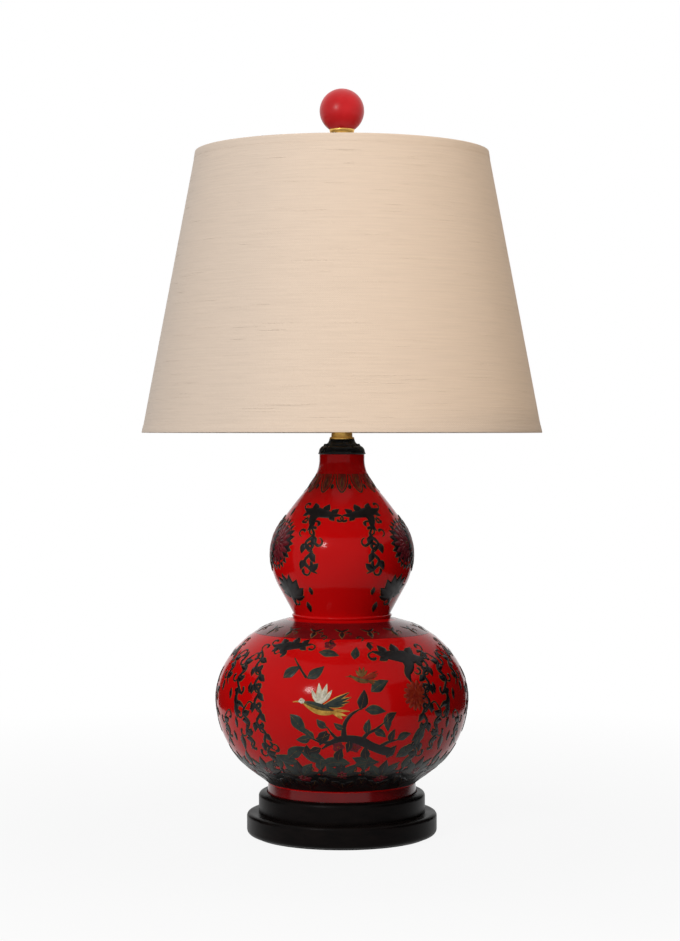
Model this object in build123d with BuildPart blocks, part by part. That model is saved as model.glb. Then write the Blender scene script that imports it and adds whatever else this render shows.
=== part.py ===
from build123d import *
import math
import os

# Double gourd table lamp: a glazed gourd vase on a turned black base, threaded on one lamp pipe
# with a neck cap, a brass neck, a harp, a turn-knob socket with its bulb, a linen shade and a ball finial.
# Millimetres. +Z is up, the origin is the middle of the face it stands on, and -Y is the front.

os.makedirs("parts", exist_ok=True)

# ------------------------------------------------------------------ driving dimensions
# clearances
slip = 0.15  # between pieces that slide or turn on each other
seat_gap = 0.2  # under pieces that rest on a seat and still move
running = 0.05  # round a turning shaft, a thread or a pressed tube
skin_gap = 0.05  # between the layers of the shade

# base
felt_thick = 1.5
felt_margin = 2.5
ledge_width = 11.3
lower_tier_height = 21.0
lower_edge_round = 5.0
ledge_round = 3.6
recess_margin = 8.2  # from the gourd's foot to the edge of the upper tier
upper_tier_height = 19.5
upper_edge_round = 4.2
recess_depth = 3.0
recess_clearance = 0.6
cavity_r = 60.0
deck_thick = 13.0

# cord inlet, at the back of the lower tier
inlet_bore_r = 3.5
inlet_tube_r = 4.9
inlet_flange_r = 6.4
inlet_flange_thick = 1.5
inlet_rise = 10.5
inlet_spot_depth = 1.2
inlet_spot_clearance = 0.3
inlet_overrun = 1.5

# lamp pipe and its fasteners
pipe_r = 5.0
pipe_bore_r = 3.4
pipe_tail = 3.5
hole_clearance = 0.35
washer_r = 16.0
washer_thick = 1.6
lock_washer_r = 9.0
lock_washer_thick = 1.5
nut_across_flats = 14.3
nut_corner_share = 1.09  # round that eases the corners, against half the flats
bottom_nut_thick = 5.0
saddle_nut_thick = 3.2

# gourd: radii, and how far each place on its outline rises above the one before it
gasket_thick = 1.0
gasket_margin = 0.8
wall = 5.0
floor_thick = 6.0
floor_height = 7.0
floor_hole_r = 8.0
foot_r = 71.4
foot_ring_width = 9.0
foot_taper = 1.1
foot_height = 11.0
hip_r, hip_rise = 89.0, 14.7
flank_r, flank_rise = 106.7, 19.2
lower_belly_r, lower_belly_rise = 120.3, 46.9
high_flank_r, high_flank_rise = 109.1, 37.3
shoulder_r, shoulder_rise = 87.1, 22.9
collar_slope_r, collar_slope_rise = 64.6, 11.5
collar_ledge, collar_foot_rise = 3.8, 3.8
waist_r = 46.2
bead_start = 1.7
bead_r = 1.6
under_belly_r, under_belly_rise = 60.3, 25.8
upper_belly_r, upper_belly_rise = 68.1, 29.7
over_belly_r, over_belly_rise = 58.4, 31.5
neck_slope_r, neck_slope_rise = 34.9, 30.7
neck_foot_r, neck_foot_rise = 24.9, 15.3
neck_r, neck_rise = 21.6, 13.8
rim_rise = 6.0

# neck cap and brass neck
cap_overhang = 0.5
cap_edge_height = 1.2
cap_shoulder_r, cap_shoulder_rise = 17.9, 6.2
cap_step_in, cap_step_rise = 1.5, 1.2
cap_top_r, cap_cove_rise = 12.2, 5.1
cap_cove_slope = 0.25
spigot_length = 6.0
spigot_clearance = 0.5
brass_neck_height = 16.3
brass_neck_flange_r = 11.1
brass_neck_flange_thick = 1.3
brass_neck_r = 10.4
brass_neck_waist_r = 9.9

# harp saddle
saddle_thick = 1.6
saddle_width = 13.0
saddle_flat = 15.0
saddle_arm_rise = 7.9
saddle_slope_run = 12.0
saddle_end_margin = 4.0
saddle_bend_r = 4.0
post_rise = 4.0
lap_length = 7.0
lap_gap = 0.2

# harp: heights above the saddle's underside
harp_wire_r = 1.7
harp_foot_half_width = 33.0
harp_straight = 41.0
harp_swell_height = 75.0
harp_half_width = 52.4
harp_belly_height = 135.0
harp_crown_r = 34.0
harp_height = 238.3
harp_hub_r = 6.2
harp_hub_height = 12.0
stud_r = 3.1
stud_height = 15.0
ferrule_r = 3.6
ferrule_length = 14.0

# socket
socket_hub_wall = 2.15
socket_hub_height = 6.0
socket_metal = 0.8
cap_cup_r = 19.2
cap_dome_height = 11.0
cap_cup_height = 8.0
set_screw_r = 1.5
set_screw_head = 1.8
shell_start = 2.5
shell_lower_height = 22.0
shell_step = 1.35
shell_upper_height = 22.0
liner_thick = 0.7
liner_gap = 0.2
liner_margin = 1.0
switch_body_start = 14.5
switch_body_height = 25.5
terminal_flat_depth = 2.4
terminal_flat_height = 9.0
terminal_screw_r = 3.0
terminal_screw_thick = 1.8
terminal_screw_drop = 14.0
screw_shell_r = 13.45
screw_shell_thick = 0.4
screw_shell_height = 20.0
contact_r = 4.0
contact_height = 1.4

# switch knob, at the front
knob_height = 32.0
knob_shaft_r = 1.6
knob_shaft_seat = 6.0
knob_hole_r = 3.4
knob_r = 5.4
knob_length = 15.0
knob_standoff = 2.6
knob_socket_depth = 9.0
knob_edge_round = 0.25
knob_flutes = 12
knob_flute_r = 0.55

# bulb
thread_depth = 0.7
thread_pitch = 3.6
thread_turns = 5
bulb_tip_r = 4.6
bulb_tip_height = 2.0
bulb_cone_r = 11.0
bulb_cone_height = 3.4
bulb_collar_step = 0.6
bulb_collar_height = 4.0
bulb_body_r = 27.2
bulb_body_height = 32.0
bulb_body_slope = 0.55
bulb_body_floor = 14.0
bulb_wall = 1.2
bulb_dome_r = 29.0
bulb_dome_start = 16.0
led_board_clearance = 0.4
led_board_thick = 1.6
led_size = 3.0
led_height = 0.8
led_count = 9
led_circle_r = 15.0

# shade
shade_top_r = 139.7
shade_bottom_r = 190.5
shade_height = 266.5
cover_thick = 0.6
liner_sheet_thick = 0.5
ring_wire_r = 1.6
hem_thick = 0.4
hem_depth = 7.0
fitter_drop = 9.0
fitter_arms = 3
fitter_arm_r = 1.4
fitter_flat_r = 20.0
fitter_bend_r = 14.0
fitter_washer_r = 11.0
fitter_washer_thick = 3.4
fitter_hole_clearance = 0.5

# finial
finial_foot_r = 9.6
finial_foot_thick = 2.2
finial_wall = 1.75
finial_waist_height = 11.0
finial_collar_step = 1.7
finial_collar_height = 3.0
finial_cup_r = 11.4
finial_cup_thick = 2.4
finial_base_height = 31.0
finial_bore_spare = 2.0
finial_pin_r = 2.6
finial_pin_length = 8.0
ball_r = 21.3
ball_flat_drop = 17.8

# ------------------------------------------------------------------ the stack, from the table up
upper_tier_r = foot_r + recess_margin
lower_tier_r = upper_tier_r + ledge_width

foot_top_r = foot_r - foot_taper
hip_height = foot_height + hip_rise
flank_height = hip_height + flank_rise
lower_belly_height = flank_height + lower_belly_rise
high_flank_height = lower_belly_height + high_flank_rise
shoulder_height = high_flank_height + shoulder_rise
collar_slope_height = shoulder_height + collar_slope_rise
collar_foot_height = collar_slope_height + collar_foot_rise
collar_foot_r = waist_r + collar_ledge
bead_height = collar_foot_height + bead_start + bead_r
under_belly_height = bead_height + bead_r + under_belly_rise
upper_belly_height = under_belly_height + upper_belly_rise
over_belly_height = upper_belly_height + over_belly_rise
neck_slope_height = over_belly_height + neck_slope_rise
neck_foot_height = neck_slope_height + neck_foot_rise
neck_height = neck_foot_height + neck_rise
rim_height = neck_height + rim_rise
cap_shoulder_height = cap_edge_height + cap_shoulder_rise
cap_step_height = cap_shoulder_height + cap_step_rise
cap_step_r = cap_shoulder_r - cap_step_in
cap_height = cap_step_height + cap_cove_rise

base_z = felt_thick
ledge_z = base_z + lower_tier_height
base_top_z = ledge_z + upper_tier_height
recess_z = base_top_z - recess_depth
deck_z = recess_z - deck_thick
gourd_z = recess_z + gasket_thick
rim_z = gourd_z + rim_height
cap_top_z = rim_z + cap_height
saddle_z = cap_top_z + brass_neck_height
saddle_nut_z = saddle_z + saddle_thick
socket_z = saddle_nut_z + saddle_nut_thick
lock_washer_z = deck_z - washer_thick - lock_washer_thick
bottom_nut_z = lock_washer_z - bottom_nut_thick
pipe_bottom_z = bottom_nut_z - pipe_tail
pipe_top_z = socket_z + socket_hub_height
pipe_hole_r = pipe_r + hole_clearance
thread_hole_r = pipe_r + running
socket_hub_r = thread_hole_r + socket_hub_wall
neck_bore_r = neck_r - wall
throat_r = waist_r - wall

cup_z = pipe_top_z + cap_dome_height
cup_inner_r = cap_cup_r - socket_metal
shell_z = cup_z + shell_start
shell_step_z = shell_z + shell_lower_height
shell_top_z = shell_step_z + shell_upper_height
shell_lower_r = cup_inner_r - running
shell_upper_r = shell_lower_r - shell_step
liner_r = shell_upper_r - socket_metal - liner_gap
switch_body_r = liner_r - liner_thick - liner_gap
body_z = socket_z + switch_body_start
body_top_z = body_z + switch_body_height
knob_z = socket_z + knob_height

arm_z = saddle_z + saddle_arm_rise + saddle_thick
lap_z = arm_z + post_rise
lap_box_depth = 4 * harp_wire_r
lap_box_width = 2 * (harp_foot_half_width + lap_box_depth)
ferrule_z = arm_z + seat_gap
harp_top_z = saddle_z + harp_height
hub_top_z = harp_top_z + harp_hub_height / 2
stud_top_z = hub_top_z + stud_height

thread_r = screw_shell_r - screw_shell_thick - running
bulb_collar_r = thread_r + bulb_collar_step
tip_z = body_top_z + contact_height + seat_gap
cone_z = tip_z + bulb_tip_height
thread_z = cone_z + bulb_cone_height
collar_z = thread_z + thread_pitch * thread_turns
bulb_body_z = collar_z + bulb_collar_height
dome_z = bulb_body_z + bulb_body_height

fitter_z = hub_top_z + seat_gap
fitter_top_z = fitter_z + fitter_washer_thick
ring_z = fitter_z + fitter_washer_thick / 2 + fitter_drop
shade_top_z = ring_z + ring_wire_r
shade_bottom_z = shade_top_z - shade_height
shade_lean = (shade_bottom_r - shade_top_r) / shade_height
liner_inset = cover_thick + skin_gap
ring_inset = liner_inset + liner_sheet_thick + skin_gap + ring_wire_r * math.hypot(1, shade_lean)

finial_waist_r = stud_r + running + finial_wall
finial_collar_r = finial_waist_r + finial_collar_step
finial_z = fitter_top_z + seat_gap
finial_top_z = finial_z + finial_base_height
ball_z = finial_top_z + ball_flat_drop

back_inlet = Plane(
    origin=(0, lower_tier_r - inlet_spot_depth, base_z + inlet_rise), x_dir=(-1, 0, 0), z_dir=(0, 1, 0)
)
inlet_tube_length = back_inlet.origin.Y - cavity_r + inlet_overrun


def upright(z):
    """The plane of a turned profile: X is the radius, Y is the height above z, and it faces -Y."""
    return Plane(origin=(0, 0, z), x_dir=(1, 0, 0), z_dir=(0, -1, 0))


def keep(piece, name):
    """Label a finished piece and write its file."""
    piece.label = name
    export_step(piece, f"parts/{name}.step")


def shade_point(z, inset=0.0):
    """A point at height z on the shade's outer face, or inside it by an inset."""
    return (shade_top_r + (shade_top_z - z) * shade_lean - inset, z)


def arc_chain(points, heading, inset=0.0):
    """Start, end and heading of each tangent arc through the points.

    The inset moves the whole chain to the left of its heading and keeps it square to every arc."""
    along, rise = heading
    spots = []
    for index, (x, y) in enumerate(points):
        spots.append(((x - rise * inset, y + along * inset), (along, rise)))
        if index + 1 < len(points):
            next_x, next_y = points[index + 1]
            reach = math.dist((x, y), (next_x, next_y))
            chord_along, chord_rise = (next_x - x) / reach, (next_y - y) / reach
            share = 2 * (along * chord_along + rise * chord_rise)
            along, rise = share * chord_along - along, share * chord_rise - rise
    return [(here[0], there[0], here[1]) for here, there in zip(spots, spots[1:])]


def washer(radius, hole, thick, z):
    """A flat ring round the Z axis, standing on height z."""
    with BuildPart() as ring:
        with BuildSketch(Plane.XY.offset(z)):
            Circle(radius)
            Circle(hole, mode=Mode.SUBTRACT)
        extrude(amount=thick)
    return ring.part


def hex_nut(hole, thick, z):
    """A hexagon nut round the Z axis, with its corners eased by a round."""
    with BuildPart() as nut:
        with BuildSketch(Plane.XY.offset(z)):
            RegularPolygon(nut_across_flats / 2, 6, major_radius=False)
            Circle(nut_across_flats / 2 * nut_corner_share, mode=Mode.INTERSECT)
            Circle(hole, mode=Mode.SUBTRACT)
        extrude(amount=thick)
    return nut.part


def skin(top, bottom, inset, thick):
    """One layer of the shade: a conical band between two heights, inside its outer face by an inset."""
    with BuildPart() as layer:
        with BuildSketch(upright(0)):
            with BuildLine():
                Polyline(
                    shade_point(top, inset),
                    shade_point(bottom, inset),
                    shade_point(bottom, inset + thick),
                    shade_point(top, inset + thick),
                    close=True,
                )
            make_face()
        revolve(axis=Axis.Z)
    return layer.part


# ------------------------------------------------------------------ base
keep(washer(lower_tier_r - lower_edge_round - felt_margin, cavity_r, felt_thick, 0), "felt_pad")

with BuildPart() as wood_base:
    with BuildSketch(Plane.XY.offset(base_z)):
        Circle(lower_tier_r)
    extrude(amount=lower_tier_height)
    fillet(wood_base.edges().filter_by(GeomType.CIRCLE).sort_by(Axis.Z)[0], lower_edge_round)
    fillet(wood_base.edges().filter_by(GeomType.CIRCLE).sort_by(Axis.Z)[-1], ledge_round)
    with BuildSketch(Plane.XY.offset(ledge_z)):
        Circle(upper_tier_r)
    extrude(amount=upper_tier_height)
    fillet(wood_base.edges().filter_by(GeomType.CIRCLE).sort_by(Axis.Z)[-1], upper_edge_round)
    with BuildSketch(Plane.XY.offset(recess_z)):
        Circle(foot_r + recess_clearance)
    extrude(amount=recess_depth, mode=Mode.SUBTRACT)
    with BuildSketch(Plane.XY.offset(base_z)):
        Circle(cavity_r)
    extrude(amount=deck_z - base_z, mode=Mode.SUBTRACT)
    with BuildSketch(Plane.XY.offset(deck_z)):
        Circle(pipe_hole_r)
    extrude(amount=deck_thick, mode=Mode.SUBTRACT)
    with BuildSketch(back_inlet):
        Circle(inlet_flange_r + inlet_spot_clearance)
    extrude(amount=inlet_flange_r, mode=Mode.SUBTRACT)
    with BuildSketch(back_inlet):
        Circle(inlet_tube_r + running)
    extrude(amount=-inlet_tube_length, mode=Mode.SUBTRACT)
keep(wood_base.part, "wood_base")

with BuildPart() as cord_bushing:
    with BuildSketch(back_inlet):
        Circle(inlet_flange_r)
    extrude(amount=inlet_flange_thick)
    with BuildSketch(back_inlet):
        Circle(inlet_tube_r)
    extrude(amount=-inlet_tube_length)
    with BuildSketch(back_inlet.offset(inlet_flange_thick)):
        Circle(inlet_bore_r)
    extrude(amount=-inlet_tube_length - inlet_flange_thick, mode=Mode.SUBTRACT)
keep(cord_bushing.part, "cord_bushing")

# ------------------------------------------------------------------ lamp pipe and its fasteners
keep(washer(washer_r, pipe_hole_r, washer_thick, deck_z - washer_thick), "pipe_washer")
keep(washer(lock_washer_r, pipe_hole_r, lock_washer_thick, lock_washer_z), "lock_washer")
keep(hex_nut(thread_hole_r, bottom_nut_thick, bottom_nut_z), "bottom_nut")
keep(hex_nut(thread_hole_r, saddle_nut_thick, saddle_nut_z), "saddle_nut")
keep(washer(pipe_r, pipe_bore_r, pipe_top_z - pipe_bottom_z, pipe_bottom_z), "lamp_pipe")

# ------------------------------------------------------------------ gourd
keep(
    washer(foot_r - gasket_margin, foot_r - foot_ring_width + gasket_margin, gasket_thick, recess_z),
    "foot_gasket",
)

lower_belly = (lower_belly_r, lower_belly_height)
upper_belly = (upper_belly_r, upper_belly_height)
# each lobe is two chains of tangent arcs that leave its widest point straight up and straight down
below_lower_belly = [lower_belly, (flank_r, flank_height), (hip_r, hip_height), (foot_top_r, foot_height)]
above_lower_belly = [
    lower_belly,
    (high_flank_r, high_flank_height),
    (shoulder_r, shoulder_height),
    (collar_slope_r, collar_slope_height),
    (collar_foot_r, collar_foot_height),
]
below_upper_belly = [upper_belly, (under_belly_r, under_belly_height), (waist_r, bead_height + bead_r)]
above_upper_belly = [
    upper_belly,
    (over_belly_r, over_belly_height),
    (neck_slope_r, neck_slope_height),
    (neck_foot_r, neck_foot_height),
    (neck_r, neck_height),
]
up, down = (0, 1), (0, -1)

with BuildPart() as gourd_body:
    with BuildSketch(upright(gourd_z)):
        with BuildLine():
            outer = (
                arc_chain(below_lower_belly, down)
                + arc_chain(above_lower_belly, up)
                + arc_chain(below_upper_belly, down)
                + arc_chain(above_upper_belly, up)
            )
            inner_below_lower = arc_chain(below_lower_belly, down, -wall)
            inner_above_lower = arc_chain(above_lower_belly, up, wall)
            inner_below_upper = arc_chain(below_upper_belly, down, -wall)
            inner_above_upper = arc_chain(above_upper_belly, up, wall)
            inner = inner_below_lower + inner_above_lower + inner_below_upper + inner_above_upper
            for start, end, along in outer + inner:
                TangentArc(start, end, tangent=along)
            Line((collar_foot_r, collar_foot_height), (waist_r, bead_height - bead_r))
            ThreePointArc(
                (waist_r, bead_height - bead_r),
                (waist_r + bead_r, bead_height),
                (waist_r, bead_height + bead_r),
            )
            Polyline(
                (neck_r, neck_height),
                (neck_r, rim_height),
                (neck_bore_r, rim_height),
                inner_above_upper[-1][1],
            )
            Polyline(
                inner_above_lower[-1][1],
                (throat_r, collar_foot_height - wall),
                inner_below_upper[-1][1],
            )
            Polyline(
                inner_below_lower[-1][1],
                (inner_below_lower[-1][1][0], floor_height + floor_thick),
                (floor_hole_r, floor_height + floor_thick),
                (floor_hole_r, floor_height),
                (foot_r - foot_ring_width, floor_height),
                (foot_r - foot_ring_width, 0),
                (foot_r, 0),
                (foot_top_r, foot_height),
            )
        make_face()
    revolve(axis=Axis.Z)
keep(gourd_body.part, "gourd_body")

# ------------------------------------------------------------------ neck cap and brass neck
with BuildPart() as vase_cap:
    with BuildSketch(upright(rim_z)):
        with BuildLine():
            cap_edge_r = neck_r + cap_overhang
            spigot_r = neck_bore_r - spigot_clearance
            Polyline(
                (cap_top_r, cap_height),
                (pipe_hole_r, cap_height),
                (pipe_hole_r, -spigot_length),
                (spigot_r, -spigot_length),
                (spigot_r, 0),
                (cap_edge_r, 0),
                (cap_edge_r, cap_edge_height),
            )
            TangentArc((cap_edge_r, cap_edge_height), (cap_shoulder_r, cap_shoulder_height), tangent=(0, 1))
            Line((cap_shoulder_r, cap_shoulder_height), (cap_step_r, cap_step_height))
            TangentArc(
                (cap_step_r, cap_step_height), (cap_top_r, cap_height), tangent=(-1, cap_cove_slope)
            )
        make_face()
    revolve(axis=Axis.Z)
keep(vase_cap.part, "vase_cap")

with BuildPart() as brass_neck:
    with BuildSketch(upright(cap_top_z)):
        with BuildLine():
            waist_top = brass_neck_height - brass_neck_flange_thick
            Polyline(
                (brass_neck_r, waist_top),
                (brass_neck_flange_r, waist_top),
                (brass_neck_flange_r, brass_neck_height),
                (pipe_hole_r, brass_neck_height),
                (pipe_hole_r, 0),
                (brass_neck_flange_r, 0),
                (brass_neck_flange_r, brass_neck_flange_thick),
                (brass_neck_r, brass_neck_flange_thick),
            )
            ThreePointArc(
                (brass_neck_r, brass_neck_flange_thick),
                (brass_neck_waist_r, brass_neck_height / 2),
                (brass_neck_r, waist_top),
            )
        make_face()
    revolve(axis=Axis.Z)
keep(brass_neck.part, "brass_neck")

# ------------------------------------------------------------------ harp saddle, harp and ferrules
saddle_slope_x = saddle_flat + saddle_slope_run
saddle_end_x = harp_foot_half_width + saddle_end_margin

with BuildPart() as harp_saddle:
    with BuildSketch(upright(saddle_z)) as saddle_side:
        with BuildLine():
            Polyline(
                (-saddle_end_x, saddle_arm_rise),
                (-saddle_slope_x, saddle_arm_rise),
                (-saddle_flat, 0),
                (saddle_flat, 0),
                (saddle_slope_x, saddle_arm_rise),
                (saddle_end_x, saddle_arm_rise),
                (saddle_end_x, saddle_arm_rise + saddle_thick),
                (saddle_slope_x, saddle_arm_rise + saddle_thick),
                (saddle_flat, saddle_thick),
                (-saddle_flat, saddle_thick),
                (-saddle_slope_x, saddle_arm_rise + saddle_thick),
                (-saddle_end_x, saddle_arm_rise + saddle_thick),
                close=True,
            )
        make_face()
        bends = saddle_side.vertices().filter_by(lambda bend: abs(bend.X) < saddle_end_x - running)
        fillet(bends, saddle_bend_r)
    extrude(amount=saddle_width / 2, both=True)
    arm_corners = harp_saddle.edges().filter_by(Axis.Z).filter_by(
        lambda corner: abs(corner.center().X) > saddle_end_x - running
    )
    fillet(arm_corners, saddle_end_margin)
    with BuildSketch(Plane.XY.offset(saddle_z)):
        Circle(pipe_hole_r)
    extrude(amount=saddle_thick, mode=Mode.SUBTRACT)
    with BuildSketch(Plane.XY.offset(arm_z)):
        with Locations((-harp_foot_half_width, 0), (harp_foot_half_width, 0)):
            Circle(harp_wire_r)
    extrude(amount=post_rise + lap_length)
    with BuildSketch(Plane.XY.offset(lap_z)):
        Rectangle(2 * harp_foot_half_width + lap_gap, lap_box_depth)
    extrude(amount=lap_length, mode=Mode.SUBTRACT)
keep(harp_saddle.part, "harp_saddle")

# the crown arc is tangent to the side arc that leaves the harp's widest point straight up
belly_z = saddle_z + harp_belly_height
straight_z = saddle_z + harp_straight
swell_z = saddle_z + harp_swell_height
leg_z = lap_z + lap_gap
crown_centre_z = harp_top_z - harp_crown_r
crown_rise = crown_centre_z - belly_z
side_arc_r = (harp_half_width**2 + crown_rise**2 - harp_crown_r**2) / (2 * (harp_half_width - harp_crown_r))
crown_turn = math.atan2(crown_rise, side_arc_r - harp_half_width)
crown_x = harp_crown_r * math.cos(crown_turn)
crown_z = crown_centre_z + harp_crown_r * math.sin(crown_turn)
swell_share = (harp_swell_height - harp_straight) / (harp_belly_height - harp_straight)
swell_x = harp_foot_half_width + (harp_half_width - harp_foot_half_width) * swell_share

with BuildPart() as harp:
    with BuildLine(upright(0)) as harp_line:
        for side in (-1, 1):
            Line((side * harp_foot_half_width, leg_z), (side * harp_foot_half_width, straight_z))
            leg = [
                (side * harp_foot_half_width, straight_z),
                (side * swell_x, swell_z),
                (side * harp_half_width, belly_z),
                (side * crown_x, crown_z),
            ]
            for start, end, along in arc_chain(leg, up):
                TangentArc(start, end, tangent=along)
        ThreePointArc((-crown_x, crown_z), (0, harp_top_z), (crown_x, crown_z))
    with BuildSketch(Plane.XY.offset(leg_z)):
        with Locations((harp_foot_half_width, 0)):
            Circle(harp_wire_r)
    sweep(path=harp_line.wire())
    with BuildSketch(Plane.XY.offset(harp_top_z - harp_hub_height / 2)):
        Circle(harp_hub_r)
    extrude(amount=harp_hub_height)
    with BuildSketch(Plane.XY.offset(hub_top_z)):
        Circle(stud_r)
    extrude(amount=stud_height)
    with BuildSketch(Plane.XY.offset(leg_z)):
        Rectangle(lap_box_width, lap_box_depth)
        Rectangle(2 * harp_foot_half_width - lap_gap, lap_box_depth, mode=Mode.SUBTRACT)
    extrude(amount=lap_length, mode=Mode.SUBTRACT)
keep(harp.part, "harp")

for side, name in ((-1, "ferrule_left"), (1, "ferrule_right")):
    with BuildPart() as ferrule:
        with BuildSketch(Plane.XY.offset(ferrule_z)):
            with Locations((side * harp_foot_half_width, 0)):
                Circle(ferrule_r)
                Circle(harp_wire_r + slip, mode=Mode.SUBTRACT)
        extrude(amount=ferrule_length)
    keep(ferrule.part, name)

# ------------------------------------------------------------------ socket
with BuildPart() as socket_cap:
    with BuildSketch(upright(socket_z)):
        with BuildLine():
            cap_curve_top = socket_hub_height + cap_dome_height
            cap_lip = cap_curve_top + cap_cup_height
            hub_floor = socket_hub_height + socket_metal
            Polyline(
                (socket_hub_r, hub_floor),
                (thread_hole_r, hub_floor),
                (thread_hole_r, 0),
                (socket_hub_r, 0),
                (socket_hub_r, socket_hub_height),
            )
            TangentArc((socket_hub_r, socket_hub_height), (cap_cup_r, cap_curve_top), tangent=(1, 0))
            Polyline(
                (cap_cup_r, cap_curve_top), (cap_cup_r, cap_lip), (cup_inner_r, cap_lip),
                (cup_inner_r, cap_curve_top),
            )
            TangentArc((socket_hub_r, hub_floor), (cup_inner_r, cap_curve_top), tangent=(1, 0))
        make_face()
    revolve(axis=Axis.Z)
    with BuildSketch(Plane.XZ.offset(-thread_hole_r)):
        with Locations((0, socket_z + socket_hub_height / 2)):
            Circle(set_screw_r + running)
    extrude(amount=-socket_hub_r, mode=Mode.SUBTRACT)
keep(socket_cap.part, "socket_cap")

with BuildPart() as cap_set_screw:
    with BuildSketch(Plane.XZ.offset(-thread_hole_r)):
        with Locations((0, socket_z + socket_hub_height / 2)):
            Circle(set_screw_r)
    extrude(amount=-(socket_hub_r - thread_hole_r + set_screw_head))
keep(cap_set_screw.part, "cap_set_screw")

with BuildPart() as socket_shell:
    with BuildSketch(Plane.XY.offset(shell_z)):
        Circle(shell_lower_r)
        Circle(shell_lower_r - socket_metal, mode=Mode.SUBTRACT)
    extrude(amount=shell_lower_height)
    with BuildSketch(Plane.XY.offset(shell_step_z - socket_metal)):
        Circle(shell_lower_r)
        Circle(shell_upper_r - socket_metal, mode=Mode.SUBTRACT)
    extrude(amount=socket_metal)
    with BuildSketch(Plane.XY.offset(shell_step_z)):
        Circle(shell_upper_r)
        Circle(shell_upper_r - socket_metal, mode=Mode.SUBTRACT)
    extrude(amount=shell_upper_height)
    with BuildSketch(upright(knob_z)):
        Circle(knob_hole_r)
    extrude(amount=cap_cup_r, mode=Mode.SUBTRACT)
keep(socket_shell.part, "socket_shell")

with BuildPart() as insulator:
    with BuildSketch(Plane.XY.offset(shell_z)):
        Circle(liner_r)
        Circle(liner_r - liner_thick, mode=Mode.SUBTRACT)
    extrude(amount=shell_top_z - shell_z - liner_margin)
    with BuildSketch(upright(knob_z)):
        Circle(knob_hole_r)
    extrude(amount=cap_cup_r, mode=Mode.SUBTRACT)
keep(insulator.part, "insulator")

terminal_x = switch_body_r - terminal_flat_depth
terminal_z = body_top_z - terminal_screw_drop

with BuildPart() as socket_body:
    with BuildSketch(Plane.XY.offset(body_z)):
        Circle(switch_body_r)
    extrude(amount=switch_body_height)
    for side in (-1, 1):
        with BuildSketch(Plane.XY.offset(terminal_z - terminal_flat_height / 2)):
            with Locations((side * (terminal_x + switch_body_r), 0)):
                Rectangle(2 * switch_body_r, 2 * switch_body_r)
        extrude(amount=terminal_flat_height, mode=Mode.SUBTRACT)
    with BuildSketch(upright(knob_z).offset(switch_body_r - knob_shaft_seat)):
        Circle(knob_shaft_r + running)
    extrude(amount=knob_shaft_seat, mode=Mode.SUBTRACT)
keep(socket_body.part, "socket_body")

with BuildPart() as terminal_screws:
    for side in (-1, 1):
        with BuildSketch(Plane.YZ.offset(side * terminal_x)):
            with Locations((0, terminal_z)):
                Circle(terminal_screw_r)
        extrude(amount=side * terminal_screw_thick)
keep(terminal_screws.part, "terminal_screws")

keep(
    washer(screw_shell_r, screw_shell_r - screw_shell_thick, screw_shell_height, body_top_z),
    "screw_shell",
)

with BuildPart() as centre_contact:
    with BuildSketch(Plane.XY.offset(body_top_z)):
        Circle(contact_r)
    extrude(amount=contact_height)
keep(centre_contact.part, "centre_contact")

# ------------------------------------------------------------------ switch knob
knob_back = cap_cup_r + knob_standoff
shaft_start = switch_body_r - knob_shaft_seat + seat_gap

with BuildPart() as switch_shaft:
    with BuildSketch(upright(knob_z).offset(shaft_start)):
        Circle(knob_shaft_r)
    extrude(amount=knob_back + knob_socket_depth - shaft_start)
keep(switch_shaft.part, "switch_shaft")

with BuildPart() as switch_knob:
    with BuildSketch(upright(knob_z).offset(knob_back)):
        Circle(knob_r)
        with PolarLocations(knob_r, knob_flutes):
            Circle(knob_flute_r, mode=Mode.SUBTRACT)
    extrude(amount=knob_length)
    fillet(switch_knob.faces().sort_by(Axis.Y)[0].edges(), knob_edge_round)
    with BuildSketch(upright(knob_z).offset(knob_back)):
        Circle(knob_shaft_r)
    extrude(amount=knob_socket_depth, mode=Mode.SUBTRACT)
keep(switch_knob.part, "switch_knob")

# ------------------------------------------------------------------ bulb
with BuildPart() as bulb_tip:
    with BuildSketch(Plane.XY.offset(tip_z)):
        Circle(bulb_tip_r)
    extrude(amount=bulb_tip_height)
keep(bulb_tip.part, "bulb_tip")

with BuildPart() as bulb_insulator:
    with BuildSketch(Plane.XY.offset(cone_z)):
        Circle(bulb_tip_r)
    with BuildSketch(Plane.XY.offset(thread_z)):
        Circle(bulb_cone_r)
    loft()
keep(bulb_insulator.part, "bulb_insulator")

with BuildPart() as bulb_thread:
    with BuildSketch(upright(thread_z)):
        with BuildLine():
            Polyline((thread_r - thread_depth, 0), (0, 0), (0, collar_z - thread_z), (
                thread_r - thread_depth, collar_z - thread_z))
            for turn in range(thread_turns):
                ThreePointArc(
                    (thread_r - thread_depth, turn * thread_pitch),
                    (thread_r, (turn + 0.5) * thread_pitch),
                    (thread_r - thread_depth, (turn + 1) * thread_pitch),
                )
        make_face()
    revolve(axis=Axis.Z)
keep(bulb_thread.part, "bulb_thread")

with BuildPart() as bulb_body:
    with BuildSketch(upright(collar_z)):
        with BuildLine():
            body_top = bulb_collar_height + bulb_body_height
            Polyline(
                (bulb_body_r, body_top),
                (bulb_body_r - bulb_wall, body_top),
                (bulb_body_r - bulb_wall, body_top - led_board_thick),
                (bulb_collar_r, bulb_body_floor),
                (0, bulb_body_floor),
                (0, 0),
                (bulb_collar_r, 0),
                (bulb_collar_r, bulb_collar_height),
            )
            TangentArc(
                (bulb_collar_r, bulb_collar_height), (bulb_body_r, body_top), tangent=(bulb_body_slope, 1)
            )
        make_face()
    revolve(axis=Axis.Z)
keep(bulb_body.part, "bulb_body")

board_r = bulb_body_r - bulb_wall - led_board_clearance

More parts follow.
